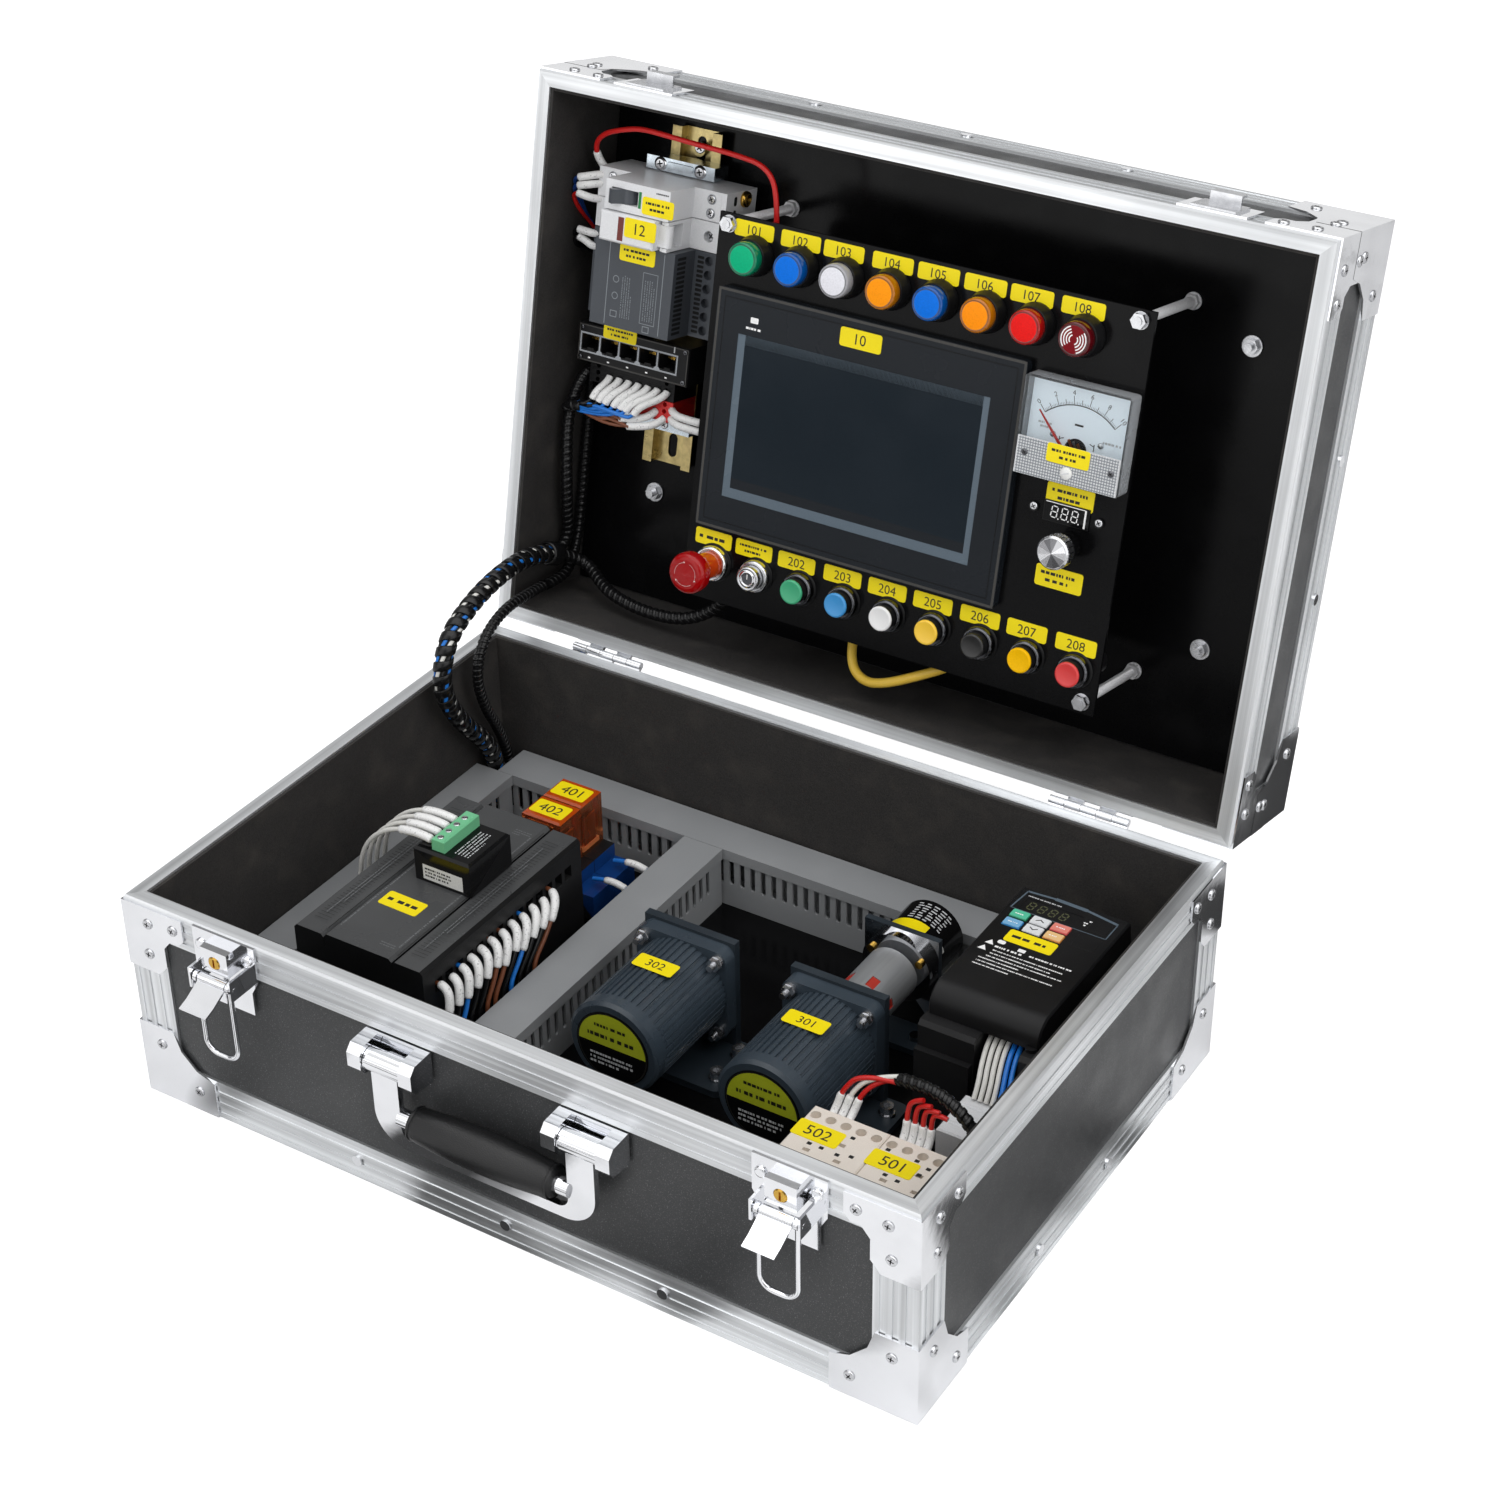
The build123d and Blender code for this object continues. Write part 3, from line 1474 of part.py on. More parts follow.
def potentiometer():
    """The potentiometer behind the plate, its bushing through it."""
    with BuildPart() as body:
        disc(closed_lid, knob_centre, 4.5, 4.7, start=front_plate_depth - 1.7)
        disc(closed_lid, knob_centre, 9.0, 12.0, start=front_plate_depth + front_plate_sheet)
        disc(closed_lid, knob_centre, knob_shaft + pin_fit, 12.7, Mode.SUBTRACT, start=1.3)
    return body.part


def knob():
    """The knob: a metal cap on a fluted skirt, with its shaft."""
    with BuildPart() as piece:
        disc(closed_lid, knob_centre, 9.6, 9.0, start=-19.0)
        chamfer(piece.edges().group_by(Axis(closed_lid.origin, closed_lid.z_dir))[0], 1.0)
        with BuildSketch(closed_lid.offset(-10.0)) as skirt:
            with Locations(knob_centre):
                Circle(7.8)
                with PolarLocations(7.9, 18):
                    Circle(0.55, mode=Mode.SUBTRACT)
        extrude(skirt.sketch, amount=11.0)
        disc(closed_lid, knob_centre, knob_shaft, 12.0, start=1.0)
    return piece.part


# Rail devices: profiles across the lid, x against depth

def rail_profile(window):
    """The stepped outline of a rail device."""
    left, right = lid_rail_x - device_width / 2, lid_rail_x + device_width / 2
    step = device_step
    return [
        (left, device_back),
        (right, device_back),
        (right, step),
        (window[1], step),
        (window[1], device_front),
        (window[0], device_front),
        (window[0], step),
        (left, step),
    ]


def breaker():
    """The circuit breaker with the slot its toggle moves in and its terminal mouths."""
    plane = facing_front(closed_lid, 0, breaker_y + module_width - body_gap, 0)
    width = module_width - body_gap
    middle = breaker_y + width / 2
    x = toggle_pivot[0]
    with BuildPart() as body:
        prism(plane, rail_profile(window_x), width)
        slab(
            closed_lid, (x - 9.5, x + 9.5), (middle - 4.5, middle + 4.5), 13.0, Mode.SUBTRACT,
            start=device_front,
        )
        for side in (-1, 1):
            mouth = lid_rail_x + side * (device_width / 2 - 10)
            disc(closed_lid, (mouth, middle), 3.4, 5, Mode.SUBTRACT, start=device_step)
    return body.part


def breaker_pin():
    """The pin that the breaker's toggle turns on."""
    middle = breaker_y + (module_width - body_gap) / 2
    plane = facing_front(closed_lid, toggle_pivot[0], middle + 4.5, toggle_pivot[1])
    return cylinder(plane, (0, 0), 0.8, 9.0)


def breaker_toggle():
    """The toggle, leaning to one side of its slot."""
    middle = breaker_y + (module_width - body_gap) / 2
    plane = facing_front(closed_lid, toggle_pivot[0], middle + 4.2, toggle_pivot[1])
    lean = radians(-30)
    side, out = Vector(cos(lean), sin(lean)), Vector(sin(lean), -cos(lean))
    points = [side * -2.6, side * -2.0 + out * 13, side * 2.0 + out * 13, side * 2.6]
    with BuildPart() as toggle:
        disc(plane, (0, 0), 5.4, 8.4)
        prism(plane, [(p.X, p.Y) for p in points], 8.4)
        disc(plane, (0, 0), 0.8 + pin_fit, 8.4, Mode.SUBTRACT)
    return toggle.part


def fuse_holder():
    """The fuse holder: a low body with two ears for the carrier."""
    width = module_width - body_gap
    plane = facing_front(closed_lid, 0, fuse_y + width, 0)
    x, depth = carrier_pivot
    left, right = lid_rail_x - device_width / 2, lid_rail_x + device_width / 2
    profile = [
        (left, device_back),
        (right, device_back),
        (right, device_step),
        (window_x[1], device_step),
        (window_x[1], 23.0),
        (window_x[0], 23.0),
        (window_x[0], device_step),
        (left, device_step),
    ]
    ear = [
        (x - 4, 23),
        (x - 4, depth),
        (x - 2.9, depth - 2.9),
        (x, depth - 4.1),
        (x + 2.5, depth - 4.1),
        (x + 2.5, 23),
    ]
    with BuildPart() as body:
        prism(plane, profile, width)
        prism(plane, ear, 2.0)
        prism(plane, ear, 2.0, start=width - 2.0)
        disc(plane, carrier_pivot, 1.2, width)
        for side in (-1, 1):
            mouth = lid_rail_x + side * (device_width / 2 - 10)
            disc(closed_lid, (mouth, fuse_y + width / 2), 3.4, 5, Mode.SUBTRACT, start=device_step)
    return body.part


def fuse_carrier():
    """The hinged carrier that holds the fuse."""
    width = module_width - body_gap
    x, depth = carrier_pivot
    plane = facing_front(closed_lid, 0, fuse_y + width, 0)
    inner = width - 4.6
    with BuildPart() as carrier:
        slab(
            closed_lid,
            (window_x[0], x - 4.6),
            (fuse_y + 0.1, fuse_y + width - 0.1),
            20.0,
            start=2.0,
        )
        chamfer(carrier.edges().group_by(Axis(closed_lid.origin, closed_lid.z_dir))[0], 1.0)
        neck = [(x - 6, depth - 3.4), (x, depth - 3.4), (x, depth + 3.4), (x - 6, depth + 3.4)]
        prism(plane, neck, inner, start=2.3)
        disc(plane, carrier_pivot, 3.4, inner, start=2.3)
        disc(plane, carrier_pivot, 1.2 + pin_fit, inner, Mode.SUBTRACT, start=2.3)
    return carrier.part


def power_supply():
    """The power supply: stepped, with terminal mouths down both sides."""
    width = supply_y[1] - supply_y[0]
    plane = facing_front(closed_lid, 0, supply_y[1], 0)
    with BuildPart() as body:
        prism(plane, rail_profile((lid_rail_x - 29, lid_rail_x + 27)), width)
        slab(
            closed_lid, (lid_rail_x - 50, lid_rail_x + 50), supply_y, 4.0, Mode.SUBTRACT,
            start=device_front,
        )
        for side in (-1, 1):
            for index in range(6):
                x = lid_rail_x + side * (device_width / 2 - 8)
                y = supply_y[0] + 5 + index * 8.4
                disc(closed_lid, (x, y), 2.8, 4, Mode.SUBTRACT, start=device_step)
    return body.part


def network_switch():
    """The network switch with five plug sockets in its face."""
    with BuildPart() as body:
        slab(closed_lid, switch_x, switch_y, device_back - switch_front, start=switch_front)
        chamfer(body.edges().group_by(Axis(closed_lid.origin, closed_lid.z_dir))[0], 0.8)
        middle = (switch_y[0] + switch_y[1]) / 2
        for index in range(5):
            x = switch_x[0] + 9 + index * socket_pitch
            slab(
                closed_lid, (x - 5.8, x + 5.8), (middle - 5, middle + 4), 14, Mode.SUBTRACT,
                start=switch_front,
            )
    return body.part


def terminal_row(x, y, count, front, pitch):
    """Rail terminals side by side, each with a mouth at both ends."""
    pieces = []
    for index in range(count):
        low = y + index * pitch
        with BuildPart() as terminal:
            slab(closed_lid, x, (low, low + pitch - 0.15), device_back - front, start=front)
            for end in (x[0] + 6, x[1] - 6):
                disc(
                    closed_lid, (end, low + pitch / 2), 1.5, 6, Mode.SUBTRACT, start=front
                )
        pieces.append(terminal.part)
    return pieces


# Nodes

keep("base_panels", shell_boards(base_frame, base_height - rim_gap / 2, floor_board))
keep(
    "base_lining",
    shell_lining(base_frame, base_height - rim_gap / 2, floor_board, spacer_places),
)
keep("base_frame", shell_edges(base_frame, base_height - rim_gap / 2))
keep(
    "base_corners",
    shell_corners(base_frame, base_height - rim_gap / 2)
    + rail_rivets(base_frame, base_height - rim_gap / 2),
)
keep(
    "base_hinge_leaves",
    [
        hinge_leaf(base_frame, 1, base_height - rim_gap / 2, side * hinge_spread, (0, 2, 4))
        for side in (-1, 1)
    ]
    + [hinge_pin_rod(side * hinge_spread) for side in (-1, 1)],
)
keep("lid_panels", shell_boards(lid_frame, lid_height - rim_gap / 2, lid_board))
keep("lid_lining", shell_lining(lid_frame, lid_height - rim_gap / 2, lid_board, ()))
keep("lid_frame", shell_edges(lid_frame, lid_height - rim_gap / 2))
keep(
    "lid_hardware",
    shell_corners(lid_frame, lid_height - rim_gap / 2)
    + rail_rivets(lid_frame, lid_height - rim_gap / 2)
    + [latch_keeper(side * latch_spread) for side in (-1, 1)],
)
keep(
    "lid_hinge_leaves",
    [
        hinge_leaf(lid_frame, -1, lid_height - rim_gap / 2, side * hinge_spread, (1, 3))
        for side in (-1, 1)
    ],
)

# Front fittings

keep(
    "front_hardware",
    [latch_plate(side * latch_spread) for side in (-1, 1)]
    + [latch_cross_pin(side * latch_spread) for side in (-1, 1)]
    + [screw for side in (-1, 1) for screw in latch_screws(side * latch_spread)]
    + [handle_bracket_piece(side * handle_spread) for side in (-1, 1)]
    + [handle_pin(side * handle_spread) for side in (-1, 1)],
)
for name, side in (("left", -1), ("right", 1)):
    keep(f"latch_lever_{name}", [latch_lever(side * latch_spread)])
    keep(f"latch_bail_{name}", [latch_bail(side * latch_spread)])
    keep(f"key_cylinder_{name}", [key_cylinder(side * latch_spread)])
keep("handle_arms", [handle_arms()])
keep("handle_grip", [handle_grip()])

# Base contents

duct_back_length = inner_x - 3 + 222
duct_side = (-inner_y + 3, 129.5)
duct_side_length = duct_side[1] - duct_side[0]
duct_side_middle = (duct_side[0] + duct_side[1]) / 2
duct_back = lying((inner_x - 3 - 222) / 2, 143.5, 0)
duct_left = lying(-inner_x + 2 + duct_width / 2, duct_side_middle, 90)
duct_middle = lying(middle_duct_x, duct_side_middle, 90)
duct_runs = (
    (duct_back, duct_back_length),
    (duct_left, duct_side_length),
    (duct_middle, duct_side_length),
)
glands = ((-229.5, 139.5, 7.0), (-230.0, 152.5, 5.0))
contactor_rail_y = contactor_back - contactor_depth / 2

spacers = [
    cylinder(Plane.XY, place, spacer_radius, plate_gap, start=floor_z) for place in spacer_places
]
spacer_bolts = []
for place in [place for place in spacer_places if place[1] < 0 and place[0] > -200]:
    with BuildPart() as bolt:
        disc(Plane.XY, place, 3.6, 2.4, start=plate_top)
    spacer_bolts.append(bolt.part)
keep(
    "mounting_plate",
    [mounting_plate()]
    + spacers
    + [top_hat(lying(controller_centre[0], -12.5, 90), 275)]
    + [top_hat(lying(183, contactor_rail_y, 0), 106)]
    + [cylinder(Plane.XY, (x, y), r, 5.8, start=plate_top) for x, y, r in glands],
)
keep(
    "wiring_ducts",
    [duct(plane, length) for plane, length in duct_runs]
    + [duct_cover(plane, length) for plane, length in duct_runs],
)
keep("controller", controller_pieces())
keep("relays", relay_pieces())
keep("motor_housings", [piece for x in motor_x for piece in motor_pieces(x)])
keep("motor_brackets", [motor_bracket(x) for x in motor_x])
keep("encoder", encoder_pieces(motor_x[0]))
keep("inverter", inverter_pieces())
contactor_lefts = (contactor_left, contactor_left + contactor_width + 0.1)
keep("contactors", [contactor(left) for left in contactor_lefts] + terminal_stack())
keep(
    "base_fasteners",
    [bolt for x in motor_x for bolt in flange_fasteners(x) + foot_fasteners(x)] + spacer_bolts,
)
keep(
    "motor_1_shaft",
    [motor_shaft(motor_x[0], encoder_front + 9)] + coupling_pieces(motor_x[0]),
)
keep("motor_2_shaft", [motor_shaft(motor_x[1], 38)])
key_names = ("key_green", "key_up", "key_red", "key_blue", "key_down", "key_amber")
key_places = [(x, y) for y in key_rows for x in key_columns]
for name, (x, y) in zip(key_names, key_places):
    keep(name, [keypad_key(x, y)])

# Lid contents

keep("back_plate", back_plate_pieces())
keep("front_plate", [front_plate()] + [standoff(place) for place in standoff_places])
keep(
    "lamps_and_collars",
    [piece for place in lamp_places for piece in lamp_pieces(place)]
    + [collar(place, *fit) for place, fit in zip(button_places, button_fits)],
)
keep("touch_screen", screen_pieces())
keep("panel_meters", meter_pieces() + display_pieces() + [potentiometer()])
keep("power_devices", [breaker(), breaker_pin(), fuse_holder(), power_supply()])
keep(
    "terminal_devices",
    [network_switch()]
    + terminal_row((-222.0, -160.0), 6.0, 3, 40.0, 4.3)
    + terminal_row((-198.0, -160.0), 19.2, 3, 40.0, 4.3),
)
keep("emergency_stop", [stop_button(button_places[0])])
keep("power_button", [push_button(button_places[1])])
button_names = ("green", "blue", "white", "yellow", "black", "amber", "red")
for name, place in zip(button_names, button_places[2:]):
    keep(f"button_{name}", [push_button(place)])
keep("input_knob", [knob()])
keep("meter_needle", [meter_needle()])
keep("breaker_toggle", [breaker_toggle()])
keep("fuse_carrier", [fuse_carrier()])

# Wiring: each route runs from one fitting to another

slot_row = [duct_side[0] + 8 + index * duct_pitch for index in range(40)]


def controller_fan(index):
    """A wire from the controller's right terminals down into the middle duct."""
    cx, cy = controller_centre
    x = cx + controller_size[0] / 2
    y = cy - controller_size[1] / 2 + 13.25 + index * 9.5
    target = slot_row[6 + index]
    wall = middle_duct_x - duct_width / 2
    half = (y + target) / 2
    return [
        (x - 4.7, y, 84),
        (x + 7, y, 86.5),
        (x + 10.5, half, 70),
        (x + 9.5, target, 54),
        (wall - 4, target, 45),
        (wall + 8, target, 43),
    ]


base_cords = [
    cord(f"controller fan {index}", controller_fan(index), wire_radius) for index in range(12)
]
for index in range(4):
    y = slot_row[16 + index] - 3
    route = [
        (-143.4, y, 127),
        (-157, y, 129.5),
        (-180, y + 1, 122),
        (-198, y + 2, 104),
        (-204, y + 2.5, 80),
        (-204, y + 3, 58),
        (-209, y + 3, 46),
        (-221, y + 3, 44),
    ]
    base_cords.append(cord(f"adapter wire {index}", route, wire_radius))
for index, y in enumerate(relay_rows):
    target = min(slot_row, key=lambda slot: abs(slot - y + 3))
    route = [(-113, y, 46), (-101, y, 49.5), (-89, target, 47), (-73, target, 43)]
    base_cords.append(cord(f"relay wire {index}", route, wire_radius))
bundle = [
    (176, -60, 110),
    (190, -62, 113.5),
    (206, -64, 112.5),
    (222, -67, 104),
    (231, -70, 88),
    (233, -72, 66),
    (232.5, -71, 42),
    (232.5, -70, 16.4),
]
base_cords.append(cord("contactor bundle", bundle, 3.2))
for index, x in enumerate((145.5, 150.5, 155.5)):
    route = [
        (x, contactor_back + 0.95, 84),
        (x, contactor_back + 7, 87),
        (x + 2, -69 + index, 98),
        (x + 11, -65 + index * 1.5, 109 - index),
        (175.6, -61.6 + index * 1.6, 108.6 + (2.8 if index == 1 else 0)),
    ]
    base_cords.append(cord(f"left contactor wire {index}", route, wire_radius))
for index, x in enumerate((187, 191.7, 196.4, 201.1)):
    route = [
        (x, contactor_back + 0.95, 84),
        (x, contactor_back + 7, 88),
        (x - 1, -69.5, 100),
        (x + 1, -68.8, 107.5 - index * 0.8),
        (x + 8, -69.0, 110.5 - index * 2.2),
    ]
    base_cords.append(cord(f"right contactor wire {index}", route, wire_radius))
for index in range(6):
    x = 189.8 + index * 3.6
    route = [
        (x, 17.5, 95),
        (x + 1, 8, 94),
        (x + 3, -2, 87),
        (x + 6, -11, 80.5),
        (x + 6.5, -16.5, 74.6),
    ]
    base_cords.append(cord(f"inverter wire {index}", route, wire_radius))
keep("base_wiring", base_cords)

lid_cords = []
harness_end = Vector(-228, 208, 174)
harness_run = (harness_end - Vector(-226, 186, 185)).normalized()
sleeve_plane = Plane(origin=harness_end - harness_run * 9, z_dir=harness_run)
with BuildPart() as sleeve:
    disc(sleeve_plane, (0, 0), harness_radius + 1.6, 12)
    disc(sleeve_plane, (0, 0), harness_radius + 0.4, 9.6, Mode.SUBTRACT)
lid_cords.append(sleeve.part)
branch_a = [
    (-225.5, 131.2, 30.5),
    (-223, 134, 41),
    (-213, 139, 46),
    (-200, 144, 38),
    (-185, 147, 30),
    (-161, 150, 27),
    (-136, 149, 27),
    (-119, 143, 29),
    (-106, 132, 30),
    (-99, 120, 26),
    (-98, 105.8, 23),
]
branch_b = [
    (-232, 131.2, 30.5),
    (-232.8, 131.5, 41),
    (-232, 122, 46),
    (-230, 106, 40),
    (-228, 88, 34),
    (-229, 66, 32),
    (-231, 44, 33),
    (-230, 25, 38),
    (-227, 14, 45),
    (-224.8, 12.8, 49),
]
branch_c = [
    (-229.1, 149.9, 22),
    (-229.6, 149.5, 38),
    (-231.5, 145, 51),
    (-233.5, 130, 59),
    (-234, 106, 61),
    (-233.5, 80, 60),
    (-234, 54, 61),
    (-233.5, 28, 60),
    (-234, 2, 61),
    (-233.5, -24, 60),
    (-234, -50, 61),
    (-233, -76, 59),
    (-229, -94, 54),
    (-225.2, -102, 49),
]
lid_cords.append(cord("branch to the emergency stop", in_lid(branch_a), branch_radius - 0.6))
lid_cords.append(cord("branch to the terminals", in_lid(branch_b), branch_radius - 0.8))
lid_cords.append(cord("branch to the breaker", in_lid(branch_c), branch_radius - 1.0))
supply_wire = [
    (-223.9, -111, 42),
    (-228.5, -117, 39),
    (-228, -127, 34),
    (-219, -135, 29),
    (-205, -140, 25),
    (-189, -144, 22),
    (-168, -143.5, 20),
    (-147, -142, 21),
    (-123, -141.5, 20),
    (-101, -139, 20),
    (-92, -125, 21),
    (-91, -102.7, 22),
]
lid_cords.append(cord("supply wire", in_lid(supply_wire), wire_radius + 0.2))
patch_cable = [
    (-9, 76.4, 34.5),
    (-9, 92, 34.8),
    (-11, 110, 32),
    (-11, 127, 25),
    (-5.5, 141, 18),
    (7, 146, 14),
    (22, 141.4, 12),
    (41.5, 131.4, 14),
    (59, 122, 20),
    (66, 106, 28),
    (67, 91, 34),
    (67, 76.4, 34.5),
]
lid_cords.append(cord("patch cable", in_lid(patch_cable), patch_radius))
for x in (patch_cable[0][0], patch_cable[-1][0]):
    plug = block(
        closed_lid, (x - 5.5, x + 5.5), (screen_box_y[1] + 0.05, 76.0), 9.0, start=30.0
    )
    lid_cords.append(plug)
keep("lid_wiring", lid_cords)

thick_route = [
    (-229.5, 139.5, 22),
    (-229.5, 139.5, 50),
    (-227, 128, 78),
    (-225, 100, 108),
    (-224, 82, 142),
    (-224, 92, 172),
    (-225, 122, 184),
    (-226, 155, 188),
    (-226, 186, 185),
    tuple(harness_end),
]
thin_route = [
    (-230, 152.5, 22),
    (-230, 152.5, 52),
    (-229, 143, 78),
    (-228, 128, 104),
    (-227, 121, 130),
    (-227, 130, 151),
    (-228, 153, 160),
    (-229, 180, 158),
    (-230, 199, 155),
]
keep(
    "hinge_harness",
    [
        cord("thick hinge harness", thick_route, harness_radius),
        cord("thin hinge harness", thin_route, thin_harness_radius),
    ],
)
print(len(nodes), "nodes")
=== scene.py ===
import copy
import math
import random

import bpy
import numpy as np
from mathutils import Matrix, Vector


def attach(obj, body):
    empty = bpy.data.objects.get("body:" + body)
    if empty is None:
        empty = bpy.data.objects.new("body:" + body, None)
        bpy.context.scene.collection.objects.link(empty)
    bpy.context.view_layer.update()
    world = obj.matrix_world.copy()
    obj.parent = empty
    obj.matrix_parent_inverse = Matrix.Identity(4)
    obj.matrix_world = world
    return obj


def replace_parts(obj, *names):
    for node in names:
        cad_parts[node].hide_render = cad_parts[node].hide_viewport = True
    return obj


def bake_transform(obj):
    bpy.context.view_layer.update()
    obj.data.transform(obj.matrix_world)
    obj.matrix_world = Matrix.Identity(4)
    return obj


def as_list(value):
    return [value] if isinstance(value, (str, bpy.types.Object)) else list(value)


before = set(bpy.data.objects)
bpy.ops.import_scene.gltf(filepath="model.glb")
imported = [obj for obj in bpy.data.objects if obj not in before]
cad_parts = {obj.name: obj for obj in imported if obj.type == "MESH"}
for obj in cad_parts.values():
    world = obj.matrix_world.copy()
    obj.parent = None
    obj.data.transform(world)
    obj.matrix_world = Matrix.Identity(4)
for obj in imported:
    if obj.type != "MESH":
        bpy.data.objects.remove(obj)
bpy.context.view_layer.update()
chance = random.Random(7)
scene = bpy.context.scene
scene.view_settings.view_transform = "Standard"
MM = 0.001
FAR = math.inf
ALL = (-FAR, FAR)


# Camera, at the photograph's viewing angle

right = Vector((0.84656, 0.53213, -0.013055))
down = Vector((0.28033, -0.46655, -0.83889))
ahead = Vector((-0.45249, 0.70651, -0.54414))
camera_place = Vector((0.74209, -1.08139, 1.06812))
camera = bpy.data.objects.new("camera", bpy.data.cameras.new("camera"))
scene.collection.objects.link(camera)
turned = Matrix((right, -down, -ahead)).transposed().to_4x4()
camera.matrix_world = Matrix.Translation(camera_place) @ turned
camera.data.lens = 70.29
camera.data.clip_end = 20
scene.camera = camera


# Local frames: u to the right, v up and w out of a face, in millimetres


class Place:
    def __init__(self, origin, u, v):
        self.origin = np.array(origin, float)
        u, v = np.array(u, float), np.array(v, float)
        self.axes = np.array([u, v, np.cross(u, v)])

    def world(self, points):
        return (self.origin + np.array(points, float) @ self.axes) * MM

    def local(self, points):
        return (np.array(points, float) / MM - self.origin) @ self.axes.T

    def moved(self, u, v, w, turn=0.0):
        """The same frame from another origin, turned in its own face by degrees."""
        c, s = math.cos(math.radians(turn)), math.sin(math.radians(turn))
        across, up = self.axes[:2]
        return Place(self.origin + np.array([u, v, w]) @ self.axes, c * across + s * up, c * up - s * across)


opening = math.radians(102.6)
hinge_y = 174.1
base_height = 136.0
lid_back = np.array([0.0, math.cos(opening), -math.sin(opening)])
lid_up = np.array([0.0, math.sin(opening), math.cos(opening)])
lid_origin = np.array((0.0, hinge_y, base_height)) - lid_back * hinge_y
X, Y, Z = np.eye(3)
TOP = Place((0, 0, 0), X, Y)
FRONT = Place((0, 0, 0), X, Z)
LID = Place(lid_origin, X, -lid_back)  # w comes out of the open lid, and is 0 at its rim
LID_SIDE = Place(lid_origin, -LID.axes[2], -lid_back)  # faces in the lid that look to the right
CLOSED_LID = Place(lid_origin, X, lid_back)  # the case's x and y with the lid shut, and the depth in the lid

# Heights and places that several parts of the model share, in millimetres

PANEL = -3  # the lid's front panel, along w
SCREEN, GLASS = 3, 2.72  # the touch screen's bezel, and its glass
LAMP_ROW, BUTTON_ROW = 91, -96
METER_U, METER_V = 124, 22  # the pointer's pivot
KNOB_U, KNOB_V = 127, -26
RODS = ((-111, 106), (148.5, 106), (149, -113), (-111, -113))
MOTORS, MOTOR_HEIGHT = (-1, 95.5), 60
RELAY_X, RELAYS = -142, (99, 77)
CONTROLLER_TOP, INVERTER_TOP = 101, 116
DUCT_SLOTS = [-148 + 7.5 * index for index in range(40)]
ADAPTER_ROWS = [slot - 3 for slot in DUCT_SLOTS[16:20]]


def lamp_u(index):
    return -92 + 30 * index


def button_u(index):
    return -98 + 30 * index


def lid_points(points):
    """Closed-lid points (x, y, depth) as places in the open lid, in metres."""
    return [tuple(CLOSED_LID.world(point)) for point in points]


def base_points(points):
    return [tuple(c * MM for c in point) for point in points]


# Materials


class Nodes:
    """The nodes of a material or of the world, with short ways to add, set and link them."""

    def __init__(self, owner):
        owner.use_nodes = True
        self.tree = owner.node_tree

    def put(self, node, values):
        """Sets a node's inputs, each to a value or to another node's output."""
        for socket, value in values.items():
            if isinstance(value, bpy.types.NodeSocket):
                self.tree.links.new(value, node.inputs[socket])
            else:
                node.inputs[socket].default_value = value

    def add(self, kind, values=None):
        node = self.tree.nodes.new(f"ShaderNode{kind}")
        self.put(node, values or {})
        return node

    def noise(self, source, size, detail):
        return self.add("TexNoise", {"Scale": size, "Detail": detail, "Vector": source}).outputs["Fac"]

    def ramp(self, value, low, high, first, second):
        """What lies between low and high, as something between first and second."""
        ends = {"From Min": low, "From Max": high, "To Min": first, "To Max": second}
        return self.add("MapRange", {"Value": value, **ends}).outputs["Result"]

    def mix(self, share, first, second):
        """A colour between two colours."""
        node = self.add("Mix")
        node.data_type = "RGBA"
        self.put(node, {0: share, 6: first, 7: second})
        return node.outputs[2]


def grey(value):
    return (value, value, value, 1)


def linear(red, green, blue):
    """A screen colour, 0 to 255, as Blender's linear colour."""
    parts = [c / 255 for c in (red, green, blue)]
    return tuple(c / 12.92 if c < 0.04045 else ((c + 0.055) / 1.055) ** 2.4 for c in parts) + (1.0,)


